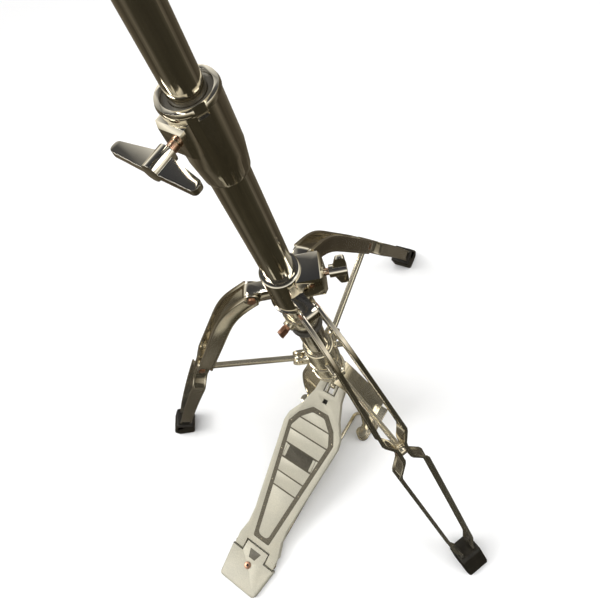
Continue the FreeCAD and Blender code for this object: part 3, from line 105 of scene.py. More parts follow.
# ---------------------------------------------------------------- materials
class Nodes:
    """A short way to write a node tree."""

    def __init__(self, tree):
        self.tree = tree
        tree.nodes.clear()

    def add(self, kind, **values):
        """A node with its settings."""
        node = self.tree.nodes.new(kind)
        for key, value in values.items():
            setattr(node, key, value)
        return node

    def link(self, source, target):
        """A link from an output to an input."""
        self.tree.links.new(source, target)

    def noise(self, place, scale, detail, roughness=0.55):
        """A cloudy value between 0 and 1."""
        node = self.add("ShaderNodeTexNoise")
        node.inputs["Scale"].default_value = scale
        node.inputs["Detail"].default_value = detail
        node.inputs["Roughness"].default_value = roughness
        self.link(place, node.inputs["Vector"])
        return node.outputs["Fac"]

    def ramp(self, factor, stops):
        """A colour ramp from (position, colour) pairs."""
        node = self.add("ShaderNodeValToRGB")
        elements = node.color_ramp.elements
        while len(elements) < len(stops):
            elements.new(0.5)
        for element, (position, colour) in zip(elements, stops):
            element.position = position
            element.color = (*colour, 1.0)
        self.link(factor, node.inputs["Fac"])
        return node.outputs["Color"]

    def spread(self, factor, low, high, start, end):
        """The factor's range from start to end, stretched to run from low to high."""
        node = self.add("ShaderNodeMapRange")
        node.inputs["From Min"].default_value = start
        node.inputs["From Max"].default_value = end
        node.inputs["To Min"].default_value = low
        node.inputs["To Max"].default_value = high
        self.link(factor, node.inputs["Value"])
        return node.outputs["Result"]

    def object_place(self):
        """The place on the object that is being painted."""
        return self.add("ShaderNodeTexCoord").outputs["Object"]

    def bump(self, height, strength, distance):
        """A normal that follows a height."""
        node = self.add("ShaderNodeBump")
        node.inputs["Strength"].default_value = strength
        node.inputs["Distance"].default_value = distance
        self.link(height, node.inputs["Height"])
        return node.outputs["Normal"]

    def multiply(self, first, second):
        """Two colours multiplied."""
        node = self.add("ShaderNodeMix", data_type="RGBA", blend_type="MULTIPLY")
        node.inputs["Factor"].default_value = 1.0
        self.link(first, node.inputs["A"])
        self.link(second, node.inputs["B"])
        return node.outputs["Result"]

    def plain(self, kind, colour):
        """A shader of one colour."""
        node = self.add(kind)
        node.inputs["Color"].default_value = (*colour, 1.0)
        return node.outputs[0]

    def blend(self, factor, first, second):
        """One shader where the factor is 0, and another where it is 1."""
        node = self.add("ShaderNodeMixShader")
        self.link(factor, node.inputs["Fac"])
        self.link(first, node.inputs[1])
        self.link(second, node.inputs[2])
        return node.outputs["Shader"]


HAZE_LOW, HAZE_HIGH = 0.10, 0.40


def new_material(name):
    """A material with its shader, and a way to write its tree."""
    material = bpy.data.materials.new(name)
    material.use_nodes = True
    nodes = Nodes(material.node_tree)
    shader = nodes.add("ShaderNodeBsdfPrincipled")
    output = nodes.add("ShaderNodeOutputMaterial")
    nodes.link(shader.outputs["BSDF"], output.inputs["Surface"])
    return material, nodes, shader


def metal(name, clean, tarnished, smooth, dull, grain_scale=60.0, grain=0.00004, by_floor=1.0, above=1.0):
    """A metal whose colour and polish wander between two states, hazed more or less towards the floor."""
    material, nodes, shader = new_material(name)
    place = nodes.object_place()
    cloud = nodes.noise(place, 14.0, 6.0, 0.62)
    speck = nodes.noise(place, grain_scale, 3.0)
    nodes.link(nodes.ramp(cloud, [(0.35, clean), (0.72, tarnished)]), shader.inputs["Base Color"])
    nodes.link(nodes.spread(cloud, smooth, dull, 0.35, 0.75), shader.inputs["Roughness"])
    nodes.link(nodes.bump(speck, 0.25, grain), shader.inputs["Normal"])
    cut = nodes.add("ShaderNodeSeparateXYZ")
    nodes.link(place, cut.inputs["Vector"])
    haze = nodes.spread(cut.outputs["Z"], by_floor, above, HAZE_LOW, HAZE_HIGH)
    nodes.link(haze, shader.inputs["Metallic"])
    return material


def mat_chrome():
    """Chrome plate, warm and a little hazed with age, and more so towards the floor."""
    return metal("chrome", (0.74, 0.70, 0.60), (0.55, 0.50, 0.40), 0.05, 0.16, by_floor=0.93)


def mat_steel():
    """Satin nickel on the castings, the struts and the pedal frame: paler and duller than the chrome."""
    return metal("steel", (0.88, 0.81, 0.63), (0.62, 0.55, 0.40), 0.10, 0.24, by_floor=0.88, above=0.88)


def mat_copper():
    """Screws whose plating has worn through to a rusty copper colour."""
    return metal("copper", (0.62, 0.36, 0.24), (0.36, 0.18, 0.11), 0.26, 0.55, 240.0, 0.0002)


def mat_board_alloy():
    """Sand-silver paint on the pressed board: fine sparkle and faint scuffs."""
    material, nodes, shader = new_material("board_alloy")
    place = nodes.object_place()
    grain = nodes.noise(place, 900.0, 2.0, 0.7)
    cloud = nodes.noise(place, 22.0, 4.0)
    tone = nodes.ramp(cloud, [(0.35, (0.56, 0.525, 0.415)), (0.70, (0.50, 0.475, 0.385))])
    fleck = nodes.ramp(grain, [(0.40, (0.86, 0.86, 0.86)), (0.62, (1.0, 1.0, 1.0))])
    nodes.link(nodes.multiply(tone, fleck), shader.inputs["Base Color"])
    nodes.link(nodes.bump(grain, 0.25, 0.0001), shader.inputs["Normal"])
    shader.inputs["Metallic"].default_value = 0.25
    shader.inputs["Roughness"].default_value = 0.48
    return material


def rough_coat(name, dark, light, scale, roughness, depth, specular=0.3):
    """A matt finish with a grain that can be felt."""
    material, nodes, shader = new_material(name)
    grain = nodes.noise(nodes.object_place(), scale, 4.0, 0.7)
    nodes.link(nodes.ramp(grain, [(0.35, dark), (0.68, light)]), shader.inputs["Base Color"])
    nodes.link(nodes.bump(grain, 0.6, depth), shader.inputs["Normal"])
    shader.inputs["Roughness"].default_value = roughness
    shader.inputs["Specular IOR Level"].default_value = specular
    return material


def mat_grip():
    """The dark brown grip band of the footboard, and its raised lines."""
    return rough_coat("grip", (0.070, 0.060, 0.043), (0.165, 0.145, 0.105), 700.0, 0.80, 0.0003)


def mat_plate():
    """Dark paint on the blank plate and the sheet on the heel."""
    return rough_coat("plate", (0.10, 0.09, 0.065), (0.135, 0.12, 0.09), 300.0, 0.50, 0.00005, 0.35)


def mat_rubber():
    """Black rubber of the boots and pads, also used for the painted shade in the heel gap, the square hole
    and round the toe window.
    """
    return rough_coat("rubber", (0.008, 0.0065, 0.0045), (0.022, 0.019, 0.013), 120.0, 0.42, 0.0004)


def mat_plastic():
    """Moulded bushings."""
    return rough_coat("plastic", (0.048, 0.043, 0.034), (0.070, 0.063, 0.050), 260.0, 0.42, 0.0001, 0.45)


def mat_felt():
    """Pale pressed wool."""
    material = rough_coat("felt", (0.46, 0.44, 0.39), (0.56, 0.54, 0.49), 420.0, 0.95, 0.0002, 0.1)
    shader = next(n for n in material.node_tree.nodes if n.type == "BSDF_PRINCIPLED")
    shader.inputs["Sheen Weight"].default_value = 0.5
    return material


MATERIALS = {"chrome": mat_chrome(), "steel": mat_steel(), "copper": mat_copper(),
             "board_alloy": mat_board_alloy(), "grip": mat_grip(), "plate": mat_plate(),
             "rubber": mat_rubber(), "plastic": mat_plastic(), "felt": mat_felt()}


# ---------------------------------------------------------------- helpers
NODE_SLOT = {s["node"]: s["material_slot"] for s in frame["record"]["subparts"]}
NODE_BODY = {n: body for body, members in frame["record"]["behaviour"]["bodies"].items() for n in members}
LEG_AZIMUTH = {"left": math.radians(218.0), "rear": math.radians(98.0), "right": math.radians(338.0)}


def give(obj, slot_name):
    """Paints a piece with one slot's material."""
    obj.data.materials.clear()
    obj.data.materials.append(MATERIALS[slot_name])


def mend_mesh(mesh, mend):
    """Runs some mesh operations on a mesh."""
    work = bmesh.new()
    work.from_mesh(mesh)
    mend(work)
    work.to_mesh(mesh)
    work.free()


def piece(name, verts, faces, slot_name, body, stands_for=(), sharp=35.0):
    """A piece from vertices and faces, smooth but for its sharp edges."""
    mesh = bpy.data.meshes.new(name)
    mesh.from_pydata(verts, [], faces)
    mend_mesh(mesh, lambda work: bmesh.ops.recalc_face_normals(work, faces=work.faces))
    mesh.shade_smooth()
    mesh.set_sharp_from_angle(angle=math.radians(sharp))
    obj = new_object(name, mesh)
    give(obj, slot_name)
    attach(obj, body)
    if stands_for:
        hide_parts(*stands_for)
    return obj


def merge_flat(work):
    """Joins doubled vertices, and faces that lie in one plane."""
    bmesh.ops.remove_doubles(work, verts=work.verts, dist=1e-6)
    bmesh.ops.dissolve_limit(work, angle_limit=math.radians(0.5), verts=work.verts, edges=work.edges)


def softened(node, width, segments, slot_name=None):
    """A finer copy of a CAD node, its hard edges rounded over."""
    mesh = frame["nodes"][node].data.copy()
    mend_mesh(mesh, merge_flat)
    obj = new_object(node + "_fine", mesh)
    bevel = obj.modifiers.new("round", "BEVEL")
    bevel.width = width
    bevel.segments = segments
    bevel.limit_method = "ANGLE"
    bevel.angle_limit = math.radians(30.0)
    bevel.use_clamp_overlap = True
    bevel.miter_outer = "MITER_ARC"
    graph = bpy.context.evaluated_depsgraph_get()
    rounded = bpy.data.meshes.new_from_object(obj.evaluated_get(graph))
    obj.modifiers.clear()
    obj.data = rounded
    rounded.shade_smooth()
    rounded.set_sharp_from_angle(angle=math.radians(40.0))
    give(obj, slot_name or NODE_SLOT[node])
    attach(obj, NODE_BODY[node])
    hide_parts(node)
    return obj


def tube_rows(rows):
    """Faces between rings of equal length, and a cap at each end."""
    count = len(rows[0])
    verts = [v for row in rows for v in row]
    faces = []
    for i in range(len(rows) - 1):
        for j in range(count):
            k = (j + 1) % count
            faces.append((i * count + j, i * count + k, (i + 1) * count + k, (i + 1) * count + j))
    faces.append(tuple(range(count - 1, -1, -1)))
    faces.append(tuple(range((len(rows) - 1) * count, len(rows) * count)))
    return verts, faces


def circle(count):
    """Evenly spaced angles round a full turn."""
    return [2.0 * math.pi * i / count for i in range(count)]


def ring(centre, axis, radius, count):
    """Points of a circle about an axis."""
    side = axis.orthogonal().normalized()
    other = axis.cross(side)
    return [centre + (side * math.cos(a) + other * math.sin(a)) * radius for a in circle(count)]


def turned_profile(points, steps):
    """A closed ring of revolution from an (r, z) loop."""
    rows = [[Vector((r * math.cos(a), r * math.sin(a), z)) for r, z in points] for a in circle(steps)]
    count = len(points)
    verts = [v for row in rows for v in row]
    faces = []
    for i in range(steps):
        n = (i + 1) % steps
        for j in range(count):
            k = (j + 1) % count
            faces.append((i * count + j, n * count + j, n * count + k, i * count + k))
    return verts, faces


def spin(vector, angle):
    """A vector turned about the tube axis."""
    c, s = math.cos(angle), math.sin(angle)
    return Vector((vector.x * c - vector.y * s, vector.x * s + vector.y * c, vector.z))


CORNER_STEPS = 4


def rounded_loop(corners, radius):
    """A closed loop of 2-D points with each corner rounded."""
    loop = []
    count = len(corners)
    for i in range(count):
        before, corner, after = (Vector(corners[(i + k) % count]) for k in (-1, 0, 1))
        back = min(radius, 0.45 * (before - corner).length)
        onward = min(radius, 0.45 * (after - corner).length)
        start = corner + (before - corner).normalized() * back
        end = corner + (after - corner).normalized() * onward
        for k in range(CORNER_STEPS + 1):
            t = k / CORNER_STEPS
            loop.append(start * (1 - t) ** 2 + corner * (2 * t * (1 - t)) + end * t ** 2)
    return loop


def joined(*shells):
    """Several closed shells in one list of vertices and faces."""
    verts, faces = [], []
    for more_verts, more_faces in shells:
        first = len(verts)
        verts += more_verts
        faces += [tuple(first + i for i in face) for face in more_faces]
    return verts, faces


def slab(loop, place, levels):
    """A closed slab: a 2-D loop shrunk by each level's inset, put in space by the place function."""
    middle = sum(loop, Vector((0, 0))) / len(loop)
    rows = []
    for height, inset in levels:
        row = []
        for point in loop:
            out = point - middle
            row.append(place(middle + out * (1.0 - inset / out.length), height))
        rows.append(row)
    return tube_rows(rows)


def soft_levels(low, high, edge):
    """The levels of a slab whose two rims are rounded."""
    turns = [(0.0, 1.0), (0.3, 0.45), (1.0, 0.0)]
    lower = [(low + edge * rise, edge * inset) for rise, inset in turns]
    upper = [(high - edge * rise, edge * inset) for rise, inset in reversed(turns)]
    return lower + upper


# ---------------------------------------------------------------- leg strips
# A leg's middle line from the hinge on the collar to the boot; the strut's pivot is the fourth point.
LEG_LINE = [Vector((r, 0.0, z)) for r, z in ((0.035, 0.421), (0.061, 0.401), (0.088, 0.363),
                                             (0.150, 0.258), (0.220, 0.133), (0.279, 0.020))]
LEG_PIVOT = LEG_LINE[3]
STRIP_HALF = 0.0085
STRIP_WALL = 0.0020
STRIP_LIP = 0.0022
STRIP_ROUND = 0.0009
STRIP_STATIONS = 110
LEG_LUG_R = 0.0085
LUG_EDGE = 0.0004
# The strip's distances from the leg's middle plane, from the hinge down to the boot, and where they change.
GAP_COLLAR = 0.0063
GAP_UPPER = 0.0123
GAP_PINCH = 0.0033
GAP_LOWER = 0.0168
GAP_SHIN = 0.0118
GAP_FOOT = 0.0070
PINCH_HALF = 0.011
PINCH_RAMP = 0.017
FOOT_RAMP = 0.014
BOOT_GRIP = 0.034


def cubic_slopes(knots, values):
    """The slopes of a natural cubic through values at the knots."""
    count = len(knots)
    lower, middle, upper, right = ([0.0] * count for _ in range(4))
    middle[0] = middle[-1] = 2.0
    upper[0] = lower[-1] = 1.0
    right[0] = 3.0 * (values[1] - values[0]) / (knots[1] - knots[0])
    right[-1] = 3.0 * (values[-1] - values[-2]) / (knots[-1] - knots[-2])
    for i in range(1, count - 1):
        a, b = knots[i] - knots[i - 1], knots[i + 1] - knots[i]
        lower[i], middle[i], upper[i] = 1.0 / a, 2.0 * (1.0 / a + 1.0 / b), 1.0 / b
        right[i] = 3.0 * ((values[i] - values[i - 1]) / a ** 2 + (values[i + 1] - values[i]) / b ** 2)
    for i in range(1, count):
        share = lower[i] / middle[i - 1]
        middle[i] -= share * upper[i - 1]
        right[i] -= share * right[i - 1]
    slopes = [0.0] * count
    slopes[-1] = right[-1] / middle[-1]
    for i in range(count - 2, -1, -1):
        slopes[i] = (right[i] - upper[i] * slopes[i + 1]) / middle[i]
    return slopes


def smooth_path(points, steps):
    """Points along a natural cubic through the given ones."""
    knots = [0.0]
    for a, b in zip(points, points[1:]):
        knots.append(knots[-1] + (b - a).length)
    slopes = [Vector(s) for s in zip(*(cubic_slopes(knots, [p[axis] for p in points]) for axis in range(3)))]
    path = []
    for i in range(steps + 1):
        t = knots[-1] * i / steps
        k = max(j for j in range(len(knots) - 1) if knots[j] <= t + 1e-12)
        span = knots[k + 1] - knots[k]
        s = (t - knots[k]) / span
        path.append(points[k] * (2 * s ** 3 - 3 * s ** 2 + 1) + slopes[k] * (span * (s ** 3 - 2 * s ** 2 + s))
                    + points[k + 1] * (3 * s ** 2 - 2 * s ** 3) + slopes[k + 1] * (span * (s ** 3 - s ** 2)))
    return path


def strip_gap(t, length, pivot):
    """The strip's distance from the leg's middle plane at a place along the chord."""
    grip = length - BOOT_GRIP
    bends = [(LEG_LUG_R, GAP_COLLAR),
             (pivot - PINCH_HALF - PINCH_RAMP, GAP_UPPER), (pivot - PINCH_HALF, GAP_PINCH),
             (pivot + PINCH_HALF, GAP_PINCH), (pivot + PINCH_HALF + PINCH_RAMP, GAP_LOWER),
             (grip - FOOT_RAMP, GAP_SHIN), (grip, GAP_FOOT)]
    if t <= bends[0][0]:
        return bends[0][1]
    for (t0, g0), (t1, g1) in zip(bends, bends[1:]):
        if t <= t1:
            return g0 + (g1 - g0) * (t - t0) / (t1 - t0)
    return bends[-1][1]


def strip_shell(side):
    """One pressed channel with rounded bends, in the plane of a leg that points along +X."""
    path = smooth_path(LEG_LINE, STRIP_STATIONS)
    along = (LEG_LINE[-1] - LEG_LINE[0]).normalized()
    length = (LEG_LINE[-1] - LEG_LINE[0]).length
    pivot = (LEG_PIVOT - LEG_LINE[0]).dot(along)
    rim = STRIP_WALL + STRIP_LIP
    inner = STRIP_HALF - STRIP_WALL
    section = rounded_loop([(0.0, -STRIP_HALF), (rim, -STRIP_HALF), (rim, -inner), (STRIP_WALL, -inner),
                            (STRIP_WALL, inner), (rim, inner), (rim, STRIP_HALF), (0.0, STRIP_HALF)],
                           STRIP_ROUND)
    rows = []
    for i, point in enumerate(path):
        tangent = (path[min(i + 1, STRIP_STATIONS)] - path[max(i - 1, 0)]).normalized()
        normal = Vector((-tangent.z, 0.0, tangent.x))
        gap = strip_gap((point - LEG_LINE[0]).dot(along), length, pivot)
        rows.append([point + normal * n + Vector((0.0, side * (gap + w), 0.0)) for w, n in section])
    return tube_rows(rows)


def round_eye(centre, radius, near, far, side):
    """A disc with softened rims across a leg, between two distances from its middle plane."""
    loop = [Vector((math.cos(a), math.sin(a))) * radius for a in circle(40)]
    return slab(loop, lambda p, h: Vector((centre.x + p.x, side * h, centre.z + p.y)),
                soft_levels(near, far, LUG_EDGE))


def leg_channels():
    """The two channels of each leg, with the eyes they hinge on."""
    shells = []
    for side in (-1.0, 1.0):
        shells.append(strip_shell(side))
        shells.append(round_eye(LEG_LINE[0], LEG_LUG_R, GAP_COLLAR, GAP_COLLAR + STRIP_WALL, side))
    verts, faces = joined(*shells)
    for name, azimuth in LEG_AZIMUTH.items():
        piece("leg_%s_channels" % name, [spin(v, azimuth) for v in verts], faces, "chrome",
              "leg_" + name, ["leg_%s_strips" % name])


# ---------------------------------------------------------------- footboard face
HINGE = Vector((0.0, -0.268, 0.0115))
BOARD_TILT = math.radians(22.4)
BOARD_FACE = 0.0030
RECESS = 0.0008
# Places along the board are distances from the hinge; the grip band's inner edge is (along, half width).
INLAY_INNER = [(0.029, 0.0085), (0.199, 0.032), (0.2165, 0.0245), (0.2315, 0.010)]
LINE_COUNT, LINE_FIRST, LINE_PITCH, LINE_HALF = 6, 0.107, 0.0218, 0.0011
LINE_REACH = 0.0004
PLATE_FROM, PLATE_TO, PLATE_HALF = 0.1513, 0.1717, 0.0250
BAR_FROM, BAR_TO, BAR_INSET, BAR_RISE = 0.0206, 0.0244, 0.0012, 0.0007
# Where the square hole is, and half the width of the painted shade under it.
HOLE_U, HOLE_SHADE_HALF = 0.254, 0.0052
# The toe window's ends and half width, and the width of the painted shade strips round it.
WINDOW_FROM, WINDOW_TO, WINDOW_HALF, WINDOW_SHADE_WIDTH = 0.268, 0.2876, 0.0085, 0.0009
STUD_ENDS = (0.0255, 0.2352)
STUD_SIDES = (0.070, 0.112, 0.161, 0.205)
STUD_WIDEST, STUD_OUT = 0.198, 0.0038
STUD_LIFT, STUD_RADIUS, STUD_RISE = 0.0003, 0.0009, 0.0004
# Thin sheets: how deep they sit, how far they stand out, their rounded rim, and a hair's breadth.
SINK, PROUD, RIM, HAIR = 0.0003, 0.0002, 0.0001, 0.0001


def on_board(point, height):
    """A point of the board's own plane, across and along, at a height over the hinge."""
    c, s = math.cos(BOARD_TILT), math.sin(BOARD_TILT)
    return HINGE + Vector((point.x, point.y * c - height * s, point.y * s + height * c))


def inside_band(u):
    """Half the width inside the grip band."""
    for (u0, v0), (u1, v1) in zip(INLAY_INNER, INLAY_INNER[1:]):
        if u0 <= u <= u1:
            return v0 + (v1 - v0) * (u - u0) / (u1 - u0)
    return 0.0


def board_slab(name, corners, round_radius, low, high, slot_name, edge=RIM):
    """A thin shape laid on the board."""
    verts, faces = slab(rounded_loop(corners, round_radius), on_board, soft_levels(low, high, edge))
    piece(name, verts, faces, slot_name, "pedal")


def rectangle(x0, x1, y0, y1):
    """The corners of a rectangle."""
    return [(x0, y0), (x1, y0), (x1, y1), (x0, y1)]


DOME = ((1.0, -0.3), (1.0, 0.35), (0.9, 0.7), (0.65, 0.92), (0.3, 1.0))


def stud(name, body, centre, axis, radius, rise, slot_name):
    """A low domed head that stands along an axis."""
    verts, faces = tube_rows([ring(centre + axis * (rise * up), axis, radius * share, 28)
                              for share, up in DOME])
    piece(name, verts, faces, slot_name, body, sharp=50.0)


def board_details():
    """The grip lines, the plate and its bars, painted shade in the square hole and round the toe window, and
    the band's studs.
    """
    floor = BOARD_FACE - RECESS
    for i in range(LINE_COUNT):
        u = LINE_FIRST + LINE_PITCH * i
        half = inside_band(u) + LINE_REACH
        board_slab("grip_line_%d" % (i + 1), rectangle(-half, half, u - LINE_HALF, u + LINE_HALF), 0.0003,
                   floor - HAIR, BOARD_FACE + HAIR, "grip")
    board_slab("plate_sheet", rectangle(-PLATE_HALF, PLATE_HALF, PLATE_FROM, PLATE_TO), 0.0006,
               floor, BOARD_FACE + PROUD, "plate")
    for side in (-1.0, 1.0):
        x0, x1 = sorted((side * BAR_FROM, side * BAR_TO))
        board_slab("plate_bar_%s" % ("left" if side < 0 else "right"),
                   rectangle(x0, x1, PLATE_FROM + BAR_INSET, PLATE_TO - BAR_INSET), 0.0006,
                   BOARD_FACE, BOARD_FACE + BAR_RISE, "board_alloy", 0.0002)
    # Painted shade: a dark slab just under the square hole, standing in for the shade inside it.
    back = HOLE_SHADE_HALF
    board_slab("square_hole_painted_shade", rectangle(-back, back, HOLE_U - back, HOLE_U + back), 0.0006,
               -0.0010, -HAIR, "rubber")
    # Painted shade: thin dark strips along three sides of the toe window, standing in for the shade round its
    # opening.
    near, far = WINDOW_HALF + HAIR, WINDOW_HALF + WINDOW_SHADE_WIDTH
    sides = {"left": rectangle(-far, -near, WINDOW_FROM, WINDOW_TO),
             "right": rectangle(near, far, WINDOW_FROM, WINDOW_TO),
             "heel": rectangle(-far, far, WINDOW_FROM - WINDOW_SHADE_WIDTH, WINDOW_FROM - HAIR)}
    for side, corners in sides.items():
        board_slab("window_painted_shade_" + side, corners, 0.0002, BOARD_FACE - SINK, BOARD_FACE + PROUD, "rubber")
    face_out = on_board(Vector((0.0, 0.0)), 1.0) - on_board(Vector((0.0, 0.0)), 0.0)
    places = [(0.0, u) for u in STUD_ENDS]
    for u in STUD_SIDES:
        across = inside_band(min(u, STUD_WIDEST)) + STUD_OUT
        places += [(-across, u), (across, u)]
    for i, place in enumerate(places):
        stud("band_stud_%d" % (i + 1), "pedal", on_board(Vector(place), BOARD_FACE + STUD_LIFT), face_out,
             STUD_RADIUS, STUD_RISE, "steel")


# ---------------------------------------------------------------- heel plate
HEEL_TOP = 0.015
HEEL_FRONT_Y, HEEL_FRONT_HALF = -0.2742, 0.0370
TONGUE_END_Y, TONGUE_HALF = -0.2590, 0.0200
# Width and rise of the painted shade along the heel plate's front edge.
GAP_SHADE_WIDTH, GAP_SHADE_RISE = 0.0011, 0.00015
HEEL_SHEET = [(-0.0095, -0.2662), (-0.0053, -0.278), (0.0053, -0.278), (0.0095, -0.2662)]
SCREW_Y, SCREW_RISE = -0.288, 0.0016
EYE_RADIUS, EYE_RISE = 0.0019, 0.0002


def heel_slab(corners, round_radius, rise):
    """A thin shape laid on the heel plate."""
    return slab(rounded_loop(corners, round_radius), lambda p, h: Vector((p.x, p.y, h)),
                soft_levels(HEEL_TOP - SINK, HEEL_TOP + rise, RIM))


def heel_gap_painted_shade():
    """Painted shade: a dark strip along the stepped front edge of the heel plate, where the hinge gap is."""
    inner, outer = TONGUE_HALF - GAP_SHADE_WIDTH, TONGUE_HALF - HAIR
    strips = []
    for side in (-1.0, 1.0):
        for reach, end in ((HEEL_FRONT_HALF, HEEL_FRONT_Y), (outer, TONGUE_END_Y)):
            near, far = sorted((side * inner, side * reach))
            strips.append(rectangle(near, far, HEEL_FRONT_Y - GAP_SHADE_WIDTH, end - HAIR))
    strips.append(rectangle(-outer, outer, TONGUE_END_Y - GAP_SHADE_WIDTH, TONGUE_END_Y - HAIR))
    verts, faces = joined(*(heel_slab(corners, 0.0002, GAP_SHADE_RISE) for corners in strips))
    piece("heel_gap_painted_shade", verts, faces, "rubber", "base")


def heel_details():
    """The small dark sheet on the heel plate, and the eye in its screw."""
    verts, faces = heel_slab(HEEL_SHEET, 0.0008, PROUD)
    piece("heel_sheet", verts, faces, "plate", "base")
    stud("heel_screw_eye", "base", Vector((0.0, SCREW_Y, HEEL_TOP + SCREW_RISE)), Vector((0.0, 0.0, 1.0)),
         EYE_RADIUS, EYE_RISE, "rubber")


def spring_coil():
    """The return spring, copied from its node and carried by the base."""
    obj = new_object("return_spring_coil", frame["nodes"]["return_spring"].data.copy())
    give(obj, NODE_SLOT["return_spring"])
    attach(obj, "base")
    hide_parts("return_spring")
    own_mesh(obj)


# ---------------------------------------------------------------- threads and felts
THREAD_DEPTH = 0.35
TUFTS_WIDE, TUFTS_FINE = 700.0, 1900.0


def thread(name, body, start, axis, radius, length, pitch, slot_name):
    """A short length of cut thread, as a turned row of ridges."""
    rows = []
    count = max(2, round(2.0 * length / pitch))
    for i in range(count + 1):
        r = radius if i % 2 else radius - THREAD_DEPTH * pitch
        rows.append(ring(start + axis * (length * i / count), axis, r, 32))
    verts, faces = tube_rows(rows)
    piece(name, verts, faces, slot_name, body, sharp=80.0)


def felt_washer(radius, hole, low, high):
    """A crowned washer of pressed wool, its faces and edge uneven and fuzzy."""
    centre = 0.5 * (hole + radius)
    middle = 0.5 * (low + high)
    half = 0.5 * (high - low)
    profile = []
    for a in circle(48):
        x, z = math.cos(a), math.sin(a)
        profile.append((centre + (radius - hole) * 0.5 * math.copysign(abs(x) ** 0.35, x),
                        middle + half * math.copysign(abs(z) ** 0.30, z)))
    verts, faces = turned_profile(profile, 160)
    rough = []
    for v in verts:
        tuft = noise.noise(v * TUFTS_WIDE) + 0.6 * noise.noise(v * TUFTS_FINE)
        flat = Vector((v.x, v.y, 0.0))
        swell = tuft * 0.00022 - 0.0003 if flat.length > hole + 0.001 else 0.0
        lift = math.copysign(tuft * 0.00018 - 0.0002, v.z - middle)
        rough.append(v + flat.normalized() * swell + Vector((0.0, 0.0, lift)))
    return rough, faces


def felts():
    """The washer under the lower cymbal, and the pair in the clutch."""
    verts, faces = felt_washer(0.020, 0.0085, 0.823, 0.834)
    piece("seat_felt_wool", verts, faces, "felt", "seat", ["seat_felt"], 70.0)
    verts, faces = joined(felt_washer(0.017, 0.006, 0.954, 0.964), felt_washer(0.017, 0.006, 0.965, 0.975))
    piece("clutch_felt_wool", verts, faces, "felt", "clutch", ["clutch_felts"], 70.0)


def threads():
    """The bare ends of the two wing bolts, and the two floor spurs."""
    thread("clamp_bolt_thread", "clamp_wing", Vector((0.0, -0.0221, 0.630)), Vector((0.0, -1.0, 0.0)),
           0.00345, 0.0058, 0.0010, "copper")
    axis = Vector((math.cos(math.radians(38.0)), math.sin(math.radians(38.0)), 0.0))
    thread("collar_bolt_thread", "collar_wing", axis * 0.0371 + Vector((0.0, 0.0, 0.434)), axis,
           0.00345, 0.0038, 0.0010, "copper")
    for name, x in (("left", -0.052), ("right", 0.052)):
        thread("spur_%s_thread" % name, "spur_" + name, Vector((x, -0.036, 0.0112)), Vector((0.0, 0.0, 1.0)),
               0.0038, 0.0106, 0.0012, "steel")


# ---------------------------------------------------------------- the pieces
for node in sorted(frame["nodes"]):
    obj = frame["nodes"][node]
    give(obj, NODE_SLOT[node])
    obj.data.shade_smooth()

# How far the hard edges of each node are rounded over.
SOFTENED = {
    "height_clamp": 0.0012, "clamp_bushing": 0.0006, "leg_collar": 0.0012, "strut_collar": 0.0010,
    "memory_ring": 0.0010, "stop_ring": 0.0008, "frame_hub": 0.0010, "pedal_frame": 0.0008,
    "footboard": 0.0008, "footboard_inlay": 0.0003, "heel_plate": 0.0006, "heel_pad": 0.0005,
    "seat_base": 0.0012, "seat_cup": 0.0010, "clutch_body": 0.0008, "clutch_nut": 0.0010,
    "lock_nuts": 0.0008, "pull_link": 0.0008, "rod_yoke": 0.0008, "spring_collar": 0.0008,
    "clamp_wing_bolt": 0.0018, "collar_wing_bolt": 0.0018, "memory_screw": 0.0008,
    "clutch_wing_screw": 0.0010, "strut_collar_screw": 0.0006, "heel_screw": 0.0005,
    "spur_left": 0.0008, "spur_right": 0.0008, "rod_coupler": 0.0008, "hub_screws": 0.0006,
    "leg_left_boot": 0.0010, "leg_rear_boot": 0.0010, "leg_right_boot": 0.0010,
    "strut_left": 0.0010, "strut_rear": 0.0010, "strut_right": 0.0010,
}
# Finer copies that are painted otherwise than their node.
OWN_SLOT = {"memory_screw": "copper", "leg_collar": "chrome"}
for node, width in SOFTENED.items():
    softened(node, width, 3 if "wing" in node else 2, OWN_SLOT.get(node))
leg_channels()
board_details()
heel_details()
heel_gap_painted_shade()
spring_coil()
threads()
felts()


# ---------------------------------------------------------------- floor, world and lights
FLOOR_HALF = 6.0
FADE_FROM, FADE_TO = 0.8, 2.2
WHITE = (1.0, 1.0, 1.0)


def carpet_seen_in_chrome(nodes):
    """What the plating mirrors from below: a dark warm floor with a few paler sweeps round the stand."""
    place = nodes.add("ShaderNodeNewGeometry").outputs["Position"]
    cut = nodes.add("ShaderNodeSeparateXYZ")
    nodes.link(place, cut.inputs["Vector"])
    angle = nodes.add("ShaderNodeMath", operation="ARCTAN2")
    nodes.link(cut.outputs["Y"], angle.inputs[0])
    nodes.link(cut.outputs["X"], angle.inputs[1])
    turn = nodes.spread(angle.outputs["Value"], 0.0, 1.0, -math.pi, math.pi)
    sweep = nodes.ramp(turn, [(0.0, (0.19, 0.168, 0.13)), (0.06, (0.12, 0.104, 0.078)),
                              (0.14, (0.065, 0.056, 0.040)), (0.20, (0.16, 0.145, 0.115)),
                              (0.25, (0.055, 0.049, 0.033)), (0.41, (0.039, 0.0345, 0.0225)),
                              (0.55, (0.048, 0.043, 0.029)), (0.61, (0.17, 0.153, 0.122)),
                              (0.66, (0.060, 0.051, 0.037)), (0.79, (0.115, 0.10, 0.075)),
                              (0.90, (0.22, 0.20, 0.16)), (1.0, (0.19, 0.168, 0.13))])
    pile = nodes.ramp(nodes.noise(place, 6.0, 5.0, 0.65),
                      [(0.3, (0.75, 0.75, 0.75)), (0.7, (1.25, 1.22, 1.18))])
    return nodes.multiply(sweep, pile)


